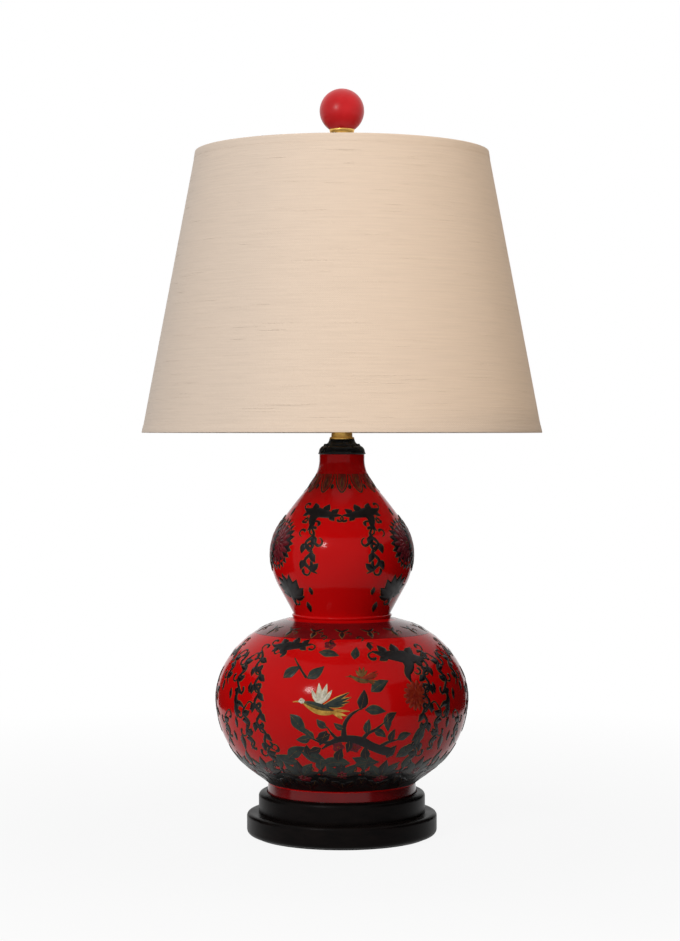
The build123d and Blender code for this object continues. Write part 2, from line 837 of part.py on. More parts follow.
with BuildPart() as led_board:
    with BuildSketch(Plane.XY.offset(dome_z - led_board_thick)):
        Circle(board_r)
    extrude(amount=led_board_thick)
keep(led_board.part, "led_board")

with BuildPart() as leds:
    with BuildSketch(Plane.XY.offset(dome_z)):
        with PolarLocations(led_circle_r, led_count):
            Rectangle(led_size, led_size)
    extrude(amount=led_height)
keep(leds.part, "leds")

with BuildPart() as bulb_dome:
    with BuildSketch(upright(dome_z)):
        with BuildLine():
            for shrink in (0, bulb_wall):
                widest = (bulb_dome_r - shrink, bulb_dome_start)
                TangentArc(widest, (bulb_body_r - shrink, 0), tangent=(0, -1))
                TangentArc(widest, (0, bulb_dome_start + bulb_dome_r - shrink), tangent=(0, 1))
            Line((bulb_body_r, 0), (bulb_body_r - bulb_wall, 0))
            dome_top = bulb_dome_start + bulb_dome_r
            Line((0, dome_top), (0, dome_top - bulb_wall))
        make_face()
    revolve(axis=Axis.Z)
keep(bulb_dome.part, "bulb_dome")

# ------------------------------------------------------------------ shade
ring_r = shade_point(ring_z, ring_inset)[0]
lower_ring_z = shade_bottom_z + ring_wire_r
lower_ring_r = shade_point(lower_ring_z, ring_inset)[0]
washer_mid_z = fitter_z + fitter_washer_thick / 2

keep(skin(shade_top_z, shade_bottom_z, 0, cover_thick), "shade_cover")
keep(skin(shade_top_z, shade_bottom_z, liner_inset, liner_sheet_thick), "shade_liner")

keep(
    washer(fitter_washer_r, stud_r + fitter_hole_clearance, fitter_washer_thick, fitter_z), "shade_washer"
)

for name, height, radius in (
    ("shade_top_ring", ring_z, ring_r),
    ("shade_bottom_ring", lower_ring_z, lower_ring_r),
):
    with BuildPart() as wire_ring:
        with BuildSketch(upright(height)):
            with Locations((radius, 0)):
                Circle(ring_wire_r)
        revolve(axis=Axis.Z)
    keep(wire_ring.part, name)

with BuildPart() as shade_arms:
    for arm in range(fitter_arms):
        turn = math.radians(90 + 360 * arm / fitter_arms)  # the first arm points to the back
        outwards = (math.cos(turn), math.sin(turn), 0)
        sideways = (math.sin(turn), -math.cos(turn), 0)
        with BuildLine(Plane(origin=(0, 0, 0), x_dir=outwards, z_dir=sideways)) as arm_line:
            FilletPolyline(
                (fitter_washer_r - fitter_arm_r, washer_mid_z),
                (fitter_flat_r, washer_mid_z),
                (ring_r, ring_z),
                radius=fitter_bend_r,
            )
        with BuildSketch(Plane(origin=arm_line.line @ 0, z_dir=arm_line.line % 0)):
            Circle(fitter_arm_r)
        sweep(path=arm_line.line)
    # the arms end on the washer's side and on the ring's wire
    with BuildSketch(Plane.XY.offset(fitter_z)):
        Circle(fitter_washer_r)
    extrude(amount=fitter_washer_thick, mode=Mode.SUBTRACT)
    with BuildSketch(upright(ring_z)):
        with Locations((ring_r, 0)):
            Circle(ring_wire_r)
    revolve(axis=Axis.Z, mode=Mode.SUBTRACT)
keep(shade_arms.part, "shade_arms")

# each hem is a band outside the cover that folds over the edge of the cover and its liner
for name, edge_z, inward in (("top_hem", shade_top_z, -1), ("bottom_hem", shade_bottom_z, 1)):
    with BuildPart() as hem:
        with BuildSketch(upright(0)):
            with BuildLine():
                band_end = edge_z + inward * hem_depth
                fold = edge_z - inward * skin_gap
                crest = fold - inward * hem_thick
                liner_edge = liner_inset + liner_sheet_thick
                Polyline(
                    shade_point(band_end, -skin_gap),
                    shade_point(fold, -skin_gap),
                    shade_point(fold, liner_edge),
                    shade_point(crest, liner_edge),
                    shade_point(crest, -skin_gap - hem_thick),
                    shade_point(band_end, -skin_gap - hem_thick),
                    close=True,
                )
            make_face()
        revolve(axis=Axis.Z)
    keep(hem.part, name)

# ------------------------------------------------------------------ finial
with BuildPart() as finial_base:
    with BuildSketch(upright(finial_z)):
        with BuildLine():
            cup_under = finial_base_height - finial_cup_thick
            collar_low = finial_waist_height
            collar_high = finial_waist_height + finial_collar_height
            Polyline(
                (finial_foot_r, finial_foot_thick),
                (finial_foot_r, 0),
                (0, 0),
                (0, finial_base_height + finial_pin_length),
                (finial_pin_r, finial_base_height + finial_pin_length),
                (finial_pin_r, finial_base_height),
                (finial_cup_r, finial_base_height),
                (finial_cup_r, cup_under),
            )
            TangentArc((finial_waist_r, collar_low), (finial_foot_r, finial_foot_thick), tangent=(0, -1))
            ThreePointArc(
                (finial_waist_r, collar_low),
                (finial_collar_r, (collar_low + collar_high) / 2),
                (finial_waist_r, collar_high),
            )
            TangentArc((finial_waist_r, collar_high), (finial_cup_r, cup_under), tangent=(0, 1))
        make_face()
    revolve(axis=Axis.Z)
    with BuildSketch(Plane.XY.offset(finial_z)):
        Circle(stud_r + running)
    extrude(amount=stud_top_z - finial_z + finial_bore_spare, mode=Mode.SUBTRACT)
keep(finial_base.part, "finial_base")

with BuildPart() as finial_ball:
    with BuildSketch(upright(ball_z)):
        Circle(ball_r)
        Rectangle(ball_r, 2 * ball_r, align=(Align.MIN, Align.CENTER), mode=Mode.INTERSECT)
        with Locations((0, -ball_flat_drop)):
            Rectangle(2 * ball_r, 2 * ball_r, align=(Align.CENTER, Align.MAX), mode=Mode.SUBTRACT)
            Rectangle(
                2 * (finial_pin_r + running), finial_pin_length + running,
                align=(Align.CENTER, Align.MIN), mode=Mode.SUBTRACT,
            )
    revolve(axis=Axis.Z)
keep(finial_ball.part, "finial_ball")
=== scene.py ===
# %% [markdown]
# # Double gourd lamp
# A ceramic table lamp: a vase shaped like a double gourd on a stepped black base, glazed deep red and
# painted with raised black scrolls, leaves and small birds, under a tapered linen shade with a red ball
# on top. The metalwork was worked out in a CAD model, so this script never moves it. It gives every
# surface its finish, and builds in fine meshes the pieces whose shine or detail needs them.
# Lengths are in millimetres in the lists below and become metres in the meshes.

# %% The frame and its sizes
import bpy
import bmesh
import math
from bisect import bisect_right
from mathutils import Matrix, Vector


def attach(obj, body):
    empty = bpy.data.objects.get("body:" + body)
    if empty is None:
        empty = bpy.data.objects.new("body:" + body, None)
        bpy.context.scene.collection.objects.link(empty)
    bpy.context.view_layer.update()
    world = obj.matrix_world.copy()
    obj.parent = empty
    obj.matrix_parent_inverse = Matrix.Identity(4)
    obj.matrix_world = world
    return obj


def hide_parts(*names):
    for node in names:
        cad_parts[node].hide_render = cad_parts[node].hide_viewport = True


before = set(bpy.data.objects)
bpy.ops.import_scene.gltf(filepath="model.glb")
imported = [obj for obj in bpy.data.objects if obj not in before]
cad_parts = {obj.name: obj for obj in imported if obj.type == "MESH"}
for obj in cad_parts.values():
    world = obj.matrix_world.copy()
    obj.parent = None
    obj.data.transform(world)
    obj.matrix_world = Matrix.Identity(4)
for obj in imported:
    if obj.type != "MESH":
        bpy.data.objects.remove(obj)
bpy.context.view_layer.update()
MM = 0.001


def put(name, data):
    """A new object in the scene, made from a mesh, a lamp or a camera."""
    made = bpy.data.objects.new(name, data)
    bpy.context.scene.collection.objects.link(made)
    return made


# %% [markdown]
# ## Camera
# The picture of a lamp like this is taken with a long lens at the height of its middle, so that its two
# lobes keep their true widths. A lens of about 84 mm two metres away gives that flat look, and the small
# pitch down shows a little of the base's ledge.

# %% Camera
lens = bpy.data.cameras.new("camera")
lens.lens, lens.sensor_width = 84.17, 36.0
camera = put("camera", lens)
camera.location = (0.0, -2.105, 0.3808)
camera.rotation_euler = (math.radians(90 - 0.872), 0.0, math.radians(0.05))
bpy.context.scene.camera = camera
bpy.context.scene.view_settings.view_transform = "Standard"
print("camera at", tuple(round(c, 3) for c in camera.location))

# %% [markdown]
# ## Small tools for node trees
# Materials and Geometry Nodes are both made of nodes and links. One helper that makes a node, sets its
# options and joins its inputs keeps the recipes below short enough to read.

# %% Helpers for nodes
def node(tree, kind, inputs=None, **options):
    """A new node; an input can be a value, a socket, or a node, which gives its first output."""
    made = tree.nodes.new(kind)
    for option, value in options.items():
        setattr(made, option, value)
    for key, value in (inputs or {}).items():
        if isinstance(value, bpy.types.Node):
            value = value.outputs[0]
        if isinstance(value, bpy.types.NodeSocket):
            tree.links.new(value, made.inputs[key])
        else:
            made.inputs[key].default_value = value
    return made


def maths(tree, operation, first, second=0.0, third=0.0):
    inputs = {0: first, 1: second}
    if operation in ("MULTIPLY_ADD", "COMPARE", "WRAP"):
        inputs[2] = third
    return node(tree, "ShaderNodeMath", inputs, operation=operation).outputs[0]


def paint(red, green, blue):
    """A colour as a screen shows it, 0 to 255, turned into the light values that shaders use."""
    def light(c):
        c /= 255
        return c / 12.92 if c <= 0.04045 else ((c + 0.055) / 1.055) ** 2.4
    return (light(red), light(green), light(blue), 1.0)


print("a mid grey of 128 is", round(paint(128, 128, 128)[0], 3), "in light")

# %% [markdown]
# ## Finishes
# No real surface has one flat colour. Each finish below starts from the shader's plain values, then noise
# read from the piece's own coordinates shifts its colour and its roughness a little and lifts it in a
# shallow bump, at the size that the real stuff shows: millimetres for felt, hundredths for lacquer.

# %% Helpers for finishes
def finish(name, colour, roughness, metallic=0.0, **sockets):
    material = bpy.data.materials.new(name)
    material.use_nodes = True
    material.diffuse_color = colour
    shader = material.node_tree.nodes["Principled BSDF"]
    shader.inputs["Base Color"].default_value = colour
    shader.inputs["Roughness"].default_value = roughness
    shader.inputs["Metallic"].default_value = metallic
    for socket, value in sockets.items():
        shader.inputs[socket.replace("_", " ")].default_value = value
    return material


def noise(material, scale, stretch=(1, 1, 1), detail=3.0, coords="Object"):
    tree = material.node_tree
    place = node(tree, "ShaderNodeTexCoord").outputs[coords]
    spread = node(tree, "ShaderNodeMapping", {"Vector": place, "Scale": stretch})
    return node(tree, "ShaderNodeTexNoise", {"Vector": spread, "Scale": scale, "Detail": detail}).outputs[0]


def ramp(material, factor, stops):
    made = node(material.node_tree, "ShaderNodeValToRGB", {"Fac": factor})
    band = made.color_ramp
    while len(band.elements) < len(stops):
        band.elements.new(0.5)
    for element, (place, colour) in zip(band.elements, stops):
        element.position = place
        element.color = colour if hasattr(colour, "__len__") else (colour, colour, colour, 1)
    return made.outputs[0]


def dress(material, shades=None, rough=None, bump=None):
    """shades = (scale, dark, light); rough = (scale, low, high); bump = (scale, metres, strength)."""
    shader = material.node_tree.nodes["Principled BSDF"]
    tree = material.node_tree
    if shades:
        scale, dark, light, *stretch = shades
        mottle = ramp(material, noise(material, scale, *stretch), ((0.3, dark), (0.7, light)))
        tree.links.new(mottle, shader.inputs["Base Color"])
    if rough:
        scale, low, high = rough
        wear = node(tree, "ShaderNodeMapRange", {0: noise(material, scale), 1: 0.3, 2: 0.7, 3: low, 4: high})
        tree.links.new(wear.outputs[0], shader.inputs["Roughness"])
    if bump:
        scale, depth, strength, *stretch = bump
        height = noise(material, scale, *stretch)
        lift = node(tree, "ShaderNodeBump", {"Height": height, "Distance": depth, "Strength": strength})
        tree.links.new(lift.outputs[0], shader.inputs["Normal"])
    return material


def dye(colour, share):
    """The same colour, darker or lighter by a share."""
    return tuple(min(1.0, c * share) for c in colour[:3]) + (1.0,)

# %% Finishes of the plain pieces
# label, colour, roughness; shades (scale, dark, light); rough (scale, low, high); bump (scale, metres, strength)
LOOKS = {
    "wood_black": ("black lacquered wood", (10, 7, 7), 0.36, (55, (6, 4.2, 4.2), (17, 12, 11), (1, 1, 3)),
                   (30, 0.3, 0.42), (160, 0.0002, 0.08, (1, 1, 6))),
    "glaze": ("red glaze", (200, 9, 11), 0.12, (9, (190, 6, 8), (208, 12, 13)),
              (30, 0.09, 0.15), (90, 0.0004, 0.05)),
    "brass": ("polished brass", (246, 199, 109), 0.38, (30, (239.38, 193.58, 105.87), (246, 199, 109)),
              (60, 0.34, 0.44), (420, 0.0001, 0.06, (1, 1, 5))),
    "cap_black": ("black enamel", (9, 10, 11), 0.3, (70, (8, 10, 12), (15, 17, 20)),
                  (90, 0.24, 0.36), (200, 0.0001, 0.05)),
    "lacquer_red": ("coral red lacquer", (204, 24, 30), 0.28, (40, (186, 20, 26), (206, 32, 38)),
                    (60, 0.28, 0.36), (170, 0.0003, 0.08)),
    "felt": ("pressed felt", (28, 28, 30), 0.95, (900, (18, 18, 20), (42, 42, 45)), None, (1400, 0.0006, 0.8)),
    "zinc": ("zinc plate", (178, 180, 182), 0.34, (90, (150, 152, 156), (190, 191, 192)),
             (150, 0.26, 0.46), (500, 0.0001, 0.12)),
    "moulded_black": ("black moulded plastic", (24, 24, 25), 0.5, (60, (19, 19, 20), (31, 31, 32)),
                      (200, 0.42, 0.58), (900, 0.0002, 0.25)),
    "rubber": ("gasket rubber", (38, 34, 34), 0.8, (120, (30, 27, 27), (46, 42, 42)),
               None, (700, 0.0003, 0.3)),
    "card": ("insulating card", (150, 118, 84), 0.85, (160, (134, 104, 72), (166, 132, 96), (1, 1, 0.3)),
             None, (800, 0.0002, 0.3)),
    "phenolic": ("phenolic", (58, 30, 20), 0.4, (130, (44, 22, 15), (70, 38, 26)),
                 (200, 0.34, 0.5), (600, 0.0001, 0.15)),
    "bulb_metal": ("rolled bulb metal", (196, 197, 196), 0.24, (80, (176, 177, 178), (206, 206, 204)),
                   (160, 0.18, 0.34), (500, 0.0001, 0.1)),
    "bulb_white": ("white bulb housing", (232, 232, 229), 0.42, (30, (226, 226, 222), (238, 238, 236)),
                   (120, 0.36, 0.5), (700, 0.0001, 0.1)),
    "diffuser": ("frosted dome", (240, 240, 236), 0.5, (20, (236, 236, 231), (244, 244, 241)),
                 (300, 0.44, 0.58), (1200, 0.0001, 0.2)),
    "board": ("led board", (222, 226, 222), 0.6, (90, (214, 219, 214), (230, 233, 230)), None, (500, 0.0001, 0.15)),
    "led": ("led phosphor", (238, 212, 92), 0.45, (400, (230, 200, 78), (244, 222, 110)), None, (900, 0.0001, 0.1)),
    "wire_white": ("white coated wire", (222, 219, 211), 0.4, (60, (212, 208, 199), (228, 226, 219)),
                   (140, 0.32, 0.5), (500, 0.0002, 0.15)),
    "liner_white": ("styrene lining", (238, 234, 224), 0.45, (12, (232, 227, 216), (243, 240, 232)),
                    (60, 0.38, 0.55), (220, 0.0002, 0.1)),
}
SOCKETS = {
    "wood_black": {"Specular_IOR_Level": 0.05},
    "glaze": {"Specular_IOR_Level": 0.09},
    "cap_black": {"Specular_IOR_Level": 0.15},
    "lacquer_red": {"Specular_IOR_Level": 0.3},
    "felt": {"Sheen_Weight": 0.4},
    "diffuser": {"Subsurface_Weight": 0.25, "Subsurface_Radius": (0.01, 0.01, 0.01)},
}
METALS = ("brass", "zinc", "bulb_metal")
looks = {}
for key, (label, colour, roughness, (scale, dark, light, *stretch), rough, bump) in LOOKS.items():
    looks[key] = dress(finish(label, paint(*colour), roughness, float(key in METALS), **SOCKETS.get(key, {})),
                       (scale, paint(*dark), paint(*light), *stretch), rough, bump)
print("finishes:", len(bpy.data.materials))

# %% [markdown]
# ## Linen
# The shade is plain linen glued to stiff styrene. Its weft, the thread that runs round the shade, swells
# into slubs of uneven length, so the cloth looks finely combed from side to side. The weave follows the
# cloth, so it reads the cloth's own UV map, whose unit here is one metre of cloth.

# %% Linen finish
WEFT = 3100.0


def linen_finish(base):
    material = finish("linen", base, 0.9, Sheen_Weight=0.25, Sheen_Roughness=0.6)
    tree = material.node_tree
    shader = tree.nodes["Principled BSDF"]
    slub = noise(material, 60, (0.35, 9, 1), 4, "UV")
    streak = noise(material, 150, (0.5, 14, 1), 2, "UV")
    warp = noise(material, 260, (7, 0.6, 1), 2, "UV")
    blend = maths(tree, "MULTIPLY_ADD", streak, 0.3, maths(tree, "MULTIPLY", warp, 0.1))
    blend = maths(tree, "MULTIPLY_ADD", slub, 0.6, blend)
    tone = ramp(material, blend, ((0.36, dye(base, 0.955)), (0.5, base), (0.64, dye(base, 1.035))))
    tree.links.new(tone, shader.inputs["Base Color"])
    place = node(tree, "ShaderNodeTexCoord").outputs["UV"]
    parts = node(tree, "ShaderNodeSeparateXYZ", {0: place})
    over = maths(tree, "SINE", maths(tree, "MULTIPLY", parts.outputs[0], WEFT))
    under = maths(tree, "SINE", maths(tree, "MULTIPLY", parts.outputs[1], WEFT * 1.15))
    cross = maths(tree, "MULTIPLY", over, under)
    height = maths(tree, "MULTIPLY_ADD", cross, 0.12, maths(tree, "MULTIPLY", blend, 1.6))
    lift = node(tree, "ShaderNodeBump", {"Height": height, "Distance": 0.0009, "Strength": 0.26})
    tree.links.new(lift.outputs[0], shader.inputs["Normal"])
    return material


linen = linen_finish(paint(226, 206, 187))
print("linen threads per centimetre:", round(WEFT / (2 * math.pi) / 100, 1))

# %% [markdown]
# ## Turned forms
# The vase, the shade, the caps and the ball are all round about one line, as if they came off a lathe or a
# potter's wheel. One Geometry Nodes tree serves them all: it takes an outline drawn as a line of points,
# lays a grid with one row for each point, and wraps the grid round the axis. The outlines use the same
# tangent arcs as the CAD model, so both have the same shape, but these are sampled finely enough for a
# mirror-like glaze.

# %% Outlines made of tangent arcs
def rotated(v, angle):
    return Vector((v.x * math.cos(angle) - v.y * math.sin(angle), v.x * math.sin(angle) + v.y * math.cos(angle)))


def arcs(points, heading, inset=0.0, step=1.6):
    """Points along a chain of arcs, each one tangent to the last, moved to the left by the inset."""
    along = Vector(heading)
    line = []
    for here, there in zip(points, points[1:]):
        start, chord = Vector(here), Vector(there) - Vector(here)
        side = Vector((-along.y, along.x))
        turn = 2 * math.atan2(side.dot(chord), along.dot(chord))
        pieces = max(3, math.ceil(chord.length / step))
        for k in range(pieces + 1):
            part = k / pieces
            half = turn * part / 2
            scale = math.sin(half) / math.sin(turn / 2) if abs(turn) > 1e-6 else part
            now = rotated(along, 2 * half)
            spot = start + rotated(along, half) * chord.length * scale + Vector((-now.y, now.x)) * inset
            if not line or k:
                line.append((spot.x, spot.y))
        along = rotated(along, turn)
    return line


def fillet(corner, before, after, radius, steps=7):
    """A rounded corner between two straight sides."""
    corner, to_before, to_after = Vector(corner), Vector(before) - Vector(corner), Vector(after) - Vector(corner)
    to_before.normalize()
    to_after.normalize()
    half = to_before.angle(to_after) / 2
    middle = corner + (to_before + to_after).normalized() * (radius / math.sin(half))
    first = corner + to_before * (radius / math.tan(half)) - middle
    last = corner + to_after * (radius / math.tan(half)) - middle
    return [tuple(middle + first.slerp(last, k / steps)) for k in range(steps + 1)]


print("a fillet of 5 has", len(fillet((10, 0), (0, 0), (10, 10), 5)), "points")

# %% The turning tree
def new_tree(name, inputs):
    tree = bpy.data.node_groups.new(name, "GeometryNodeTree")
    for label, kind in inputs:
        tree.interface.new_socket(label, in_out="INPUT", socket_type="NodeSocket" + kind)
    tree.interface.new_socket("Geometry", in_out="OUTPUT", socket_type="NodeSocketGeometry")
    return tree, tree.nodes.new("NodeGroupInput").outputs


def end_tree(tree, last):
    """Make the last node's geometry real, give it the tree's material and send it out."""
    given = next(n for n in tree.nodes if n.bl_idname == "NodeGroupInput").outputs
    real = node(tree, "GeometryNodeRealizeInstances", {0: last})
    coloured = node(tree, "GeometryNodeSetMaterial", {
        "Geometry": real, "Material": given["Material"]})
    node(tree, "NodeGroupOutput", {0: coloured})
    return tree


def wrap(tree, angle, radius, height):
    """The place at an angle round the axis, a radius from it and a height."""
    return node(tree, "ShaderNodeCombineXYZ", {
        0: maths(tree, "MULTIPLY", radius, maths(tree, "SINE", angle)),
        1: maths(tree, "MULTIPLY", radius, maths(tree, "COSINE", angle)), 2: height})


def turning_tree():
    tree, given = new_tree(
        "turned", [("Geometry", "Geometry"), ("Steps", "Int"), ("Crease", "Float"), ("Material", "Material")])
    count = node(tree, "GeometryNodeAttributeDomainSize", {0: given["Geometry"]}).outputs["Point Count"]
    steps = given["Steps"]
    grid = node(tree, "GeometryNodeMeshGrid", {
        "Size X": 1.0, "Size Y": 1.0, "Vertices X": maths(tree, "ADD", steps, 1.0), "Vertices Y": count,
    })
    position = node(tree, "GeometryNodeInputPosition")
    x, y, z = node(tree, "ShaderNodeSeparateXYZ", {0: position}).outputs
    column = maths(tree, "ADD", x, 0.5)
    row = maths(tree, "ROUND", maths(tree, "MULTIPLY", maths(tree, "ADD", y, 0.5),
                                     maths(tree, "SUBTRACT", count, 1.0)))
    outline = node(tree, "GeometryNodeSampleIndex", {
        "Geometry": given["Geometry"], "Value": position,
        "Index": row}, data_type="FLOAT_VECTOR")
    run = node(tree, "GeometryNodeSampleIndex", {
        "Geometry": given["Geometry"], "Index": row,
        "Value": node(tree, "GeometryNodeInputNamedAttribute", {"Name": "run"})}, data_type="FLOAT")
    angle = maths(tree, "MULTIPLY", column, 2 * math.pi)
    radius, _, height = node(tree, "ShaderNodeSeparateXYZ", {0: outline}).outputs
    wrapped = wrap(tree, angle, radius, height)
    flat = node(tree, "ShaderNodeCombineXYZ", {0: column, 1: run})
    mapped = node(tree, "GeometryNodeStoreNamedAttribute", {
        "Geometry": grid.outputs["Mesh"], "Name": "UVMap", "Value": flat,
    }, data_type="FLOAT2", domain="CORNER")
    turned = node(tree, "GeometryNodeSetPosition", {"Geometry": mapped, "Position": wrapped})
    closed = node(tree, "GeometryNodeMergeByDistance", {"Geometry": turned, "Distance": 1e-6})
    smooth = node(tree, "GeometryNodeSetShadeSmooth", {"Geometry": closed, "Shade Smooth": True})
    bend = node(tree, "GeometryNodeInputMeshEdgeAngle")
    soft = node(tree, "FunctionNodeCompare", {0: bend, 1: given["Crease"]},
                data_type="FLOAT", operation="LESS_THAN")
    creased = node(tree, "GeometryNodeSetShadeSmooth", {
        "Geometry": smooth, "Shade Smooth": soft}, domain="EDGE")
    return end_tree(tree, creased)


turned = turning_tree()
print("the turning tree has", len(turned.nodes), "nodes")

# %% From a tree to a finished piece
def plain(obj, name):
    """The mesh that an object's modifier makes, as an object of its own."""
    bpy.context.view_layer.update()
    made = bpy.data.meshes.new_from_object(obj.evaluated_get(bpy.context.evaluated_depsgraph_get()))
    bpy.data.objects.remove(obj)
    made.name = name
    return put(name, made)


def grow(tree, seed_mesh, name, **settings):
    """Run a tree on a mesh with its named inputs set, and keep the plain result."""
    obj = put(name + " seed", seed_mesh)
    modifier = obj.modifiers.new("tree", "NODES")
    modifier.node_group = tree
    for item in tree.interface.items_tree:
        if item.in_out == "INPUT" and item.name in settings:
            modifier[item.identifier] = settings[item.name]
    return plain(obj, name)


def heal(mesh, sharp=None):
    """Turn every face outward and smooth, with a crease at edges that bend more than `sharp`; count open edges."""
    shell = bmesh.new()
    shell.from_mesh(mesh)
    bmesh.ops.delete(shell, geom=[e for e in shell.edges if not e.link_faces], context="EDGES")
    bmesh.ops.recalc_face_normals(shell, faces=shell.faces)
    for face in shell.faces:
        face.smooth = True
    if sharp:
        for edge in shell.edges:
            edge.smooth = edge.calc_face_angle(0.0) < sharp
    open_edges = sum(e.is_boundary for e in shell.edges)
    shell.to_mesh(mesh)
    shell.free()
    return open_edges


def loft(rows, n, first=0):
    """The faces of a closed tube of rows, each a ring of n corners, with a cap at both ends."""
    faces = []
    for a in range(first, first + (rows - 1) * n, n):
        faces += [(a + j, a + (j + 1) % n, a + n + (j + 1) % n, a + n + j) for j in range(n)]
    last = first + (rows - 1) * n
    return faces + [tuple(range(first, first + n))[::-1], tuple(range(last, last + n))]


def solid(name, verts, faces, material, sharp=0.9):
    """A closed mesh from its corners and faces, as an object."""
    made = bpy.data.meshes.new(name)
    made.from_pydata(verts, [], faces)
    made.materials.append(material)
    heal(made, sharp)
    return put(name, made)


FINE = 256


def turn(name, outline, material, body="root", steps=192, crease=0.5, stands_for=()):
    """A closed outline of (radius, height) in millimetres, turned into a solid that rides on a body."""
    line = bpy.data.meshes.new(name + " outline")
    loop = list(outline) + [outline[0]]
    line.from_pydata([(r * MM, 0, z * MM) for r, z in loop], [(k, k + 1) for k in range(len(loop) - 1)], [])
    run = line.attributes.new("run", "FLOAT", "POINT")
    total = 0.0
    for k, spot in enumerate(loop):
        total += math.dist(spot, loop[k - 1]) * MM if k else 0.0
        run.data[k].value = total
    piece = grow(turned, line, name, Steps=steps, Crease=crease, Material=material)
    open_edges = heal(piece.data)
    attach(piece, body)
    if stands_for:
        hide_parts(*stands_for)
    print(f"{name}: {len(piece.data.polygons)} faces, {open_edges} open edges")
    return piece


def fitting(name, outline, lift, look, slot, stands_for, **options):
    """A turned piece with its look, lifted to its place on the axis, instead of a CAD piece. The slot is not used."""
    piece = turn(name, [(r, z + lift) for r, z in outline], looks[look], stands_for=(stands_for,), **options)

# %% [markdown]
# ## The vase
# Two bellies above each other, thrown or cast in one piece with a narrow waist between them. Below the
# waist there is a small collar and a raised bead. Each belly is two chains of arcs that leave its widest
# point straight up and straight down. The vase is hollow, with a wall of five millimetres.

# %% The vase's outline
GOURD_Z = 40.0
WALL = 5.0
WAIST_R, BEAD_Z, BEAD_R = 46.2, 170.6, 1.6
LOWER_BELLY, UPPER_BELLY = (120.3, 91.8), (68.1, 227.7)
below_lower = [LOWER_BELLY, (106.7, 44.9), (89.0, 25.7), (70.3, 11.0)]
above_lower = [LOWER_BELLY, (109.1, 129.1), (87.1, 152.0), (64.6, 163.5), (50.0, 167.3)]
below_upper = [UPPER_BELLY, (60.3, 198.0), (WAIST_R, BEAD_Z + BEAD_R)]
above_upper = [UPPER_BELLY, (58.4, 259.2), (34.9, 289.9), (24.9, 305.2), (21.6, 319.0)]
UP, DOWN = (0, 1), (0, -1)
bead = [
    (WAIST_R + BEAD_R * math.cos(a), BEAD_Z + BEAD_R * math.sin(a))
    for a in (math.pi * (k / 12 - 0.5) for k in range(13))
]
outside = (
    [(71.4, 0.0)]
    + arcs(below_lower, DOWN)[::-1]
    + arcs(above_lower, UP)[1:]
    + bead
    + arcs(below_upper, DOWN)[::-1][1:]
    + arcs(above_upper, UP)[1:]
    + [(21.6, 325.0)]
)
inside = (
    arcs(below_lower, DOWN, -WALL, 4)[::-1]
    + arcs(above_lower, UP, WALL, 4)[1:]
    + [(WAIST_R - WALL, 167.3 - WALL)]
    + arcs(below_upper, DOWN, -WALL, 4)[::-1]
    + arcs(above_upper, UP, WALL, 4)[1:]
    + [(21.6 - WALL, 325.0)]
)
inner_foot = inside[0][0]
gourd_outline = outside + inside[::-1] + [(inner_foot, 13.0), (8.0, 13.0), (8.0, 7.0), (62.4, 7.0), (62.4, 0.0)]
fitting("vase", gourd_outline, GOURD_Z, "glaze", "glaze", "gourd_body", steps=FINE, crease=0.42)

# %% [markdown]
# ## Raised lacquer ornament
# The scrolls, leaves and birds are not printed on. They are brushed on in thick lacquer over the fired
# glaze, so each stroke stands up half a millimetre, catches the light along its edge and tapers like a
# brush mark. A flat texture couldn't do that. Each stroke here is a thin closed ribbon: a smooth spine, a
# width that swells and tapers along it, and a crowned section. Motifs are drawn flat, in millimetres, then
# laid on the vase by an angle round it and a length along its outline, so that nothing is stretched.

# %% A map of the vase's surface
surface = [(r, z + GOURD_Z) for r, z in outside]
length_up = [0.0]
for lower, upper in zip(surface, surface[1:]):
    length_up.append(length_up[-1] + math.dist(lower, upper))
heights_up = [z for r, z in surface]
facing = []
for k in range(len(surface)):
    below, above = surface[max(k - 1, 0)], surface[min(k + 1, len(surface) - 1)]
    slope = Vector((above[1] - below[1], below[0] - above[0])).normalized()
    facing.append((slope.x, slope.y))


def between(table, keys, key):
    k = min(max(bisect_right(keys, key) - 1, 0), len(keys) - 2)
    part = (key - keys[k]) / max(keys[k + 1] - keys[k], 1e-9)
    return [a + (b - a) * part for a, b in zip(table[k], table[k + 1])]


def on_vase(angle, along, lift):
    """The point at an angle round the vase (0 is the front) and a length along its outline."""
    (r, z), (out, up) = between(surface, length_up, along), between(facing, length_up, along)
    r, z = r + out * lift, z + up * lift
    return (r * math.sin(angle) * MM, -r * math.cos(angle) * MM, z * MM)


def along_at(height):
    return between([(a,) for a in length_up], heights_up, height)[0]


def place(angle, height, tilt=0.0, size=1.0, flip=1):
    """Where a motif's middle sits: degrees round the vase, millimetres above the table."""
    return (math.radians(angle), along_at(height), math.radians(tilt), size, flip)


def locate(spot, x, y):
    angle, along, tilt, size, flip = spot
    x, y = x * size * flip, y * size
    x, y = x * math.cos(tilt) - y * math.sin(tilt), x * math.sin(tilt) + y * math.cos(tilt)
    return angle + x / between(surface, length_up, along + y)[0], along + y


def within(spot, x, y, tilt=0.0, size=1.0, flip=1):
    """A place inside a motif, for a smaller motif."""
    angle, along = locate(spot, x, y)
    return (angle, along, spot[2] + spot[4] * math.radians(tilt), spot[3] * size, spot[4] * flip)


print("outline length", round(length_up[-1]), "mm, from", heights_up[0], "to", heights_up[-1])

# %% The brush
strokes = {}
SUNK, THINNEST = 0.12, 0.12  # how deep an underside sits in the vase, and a stroke's least width


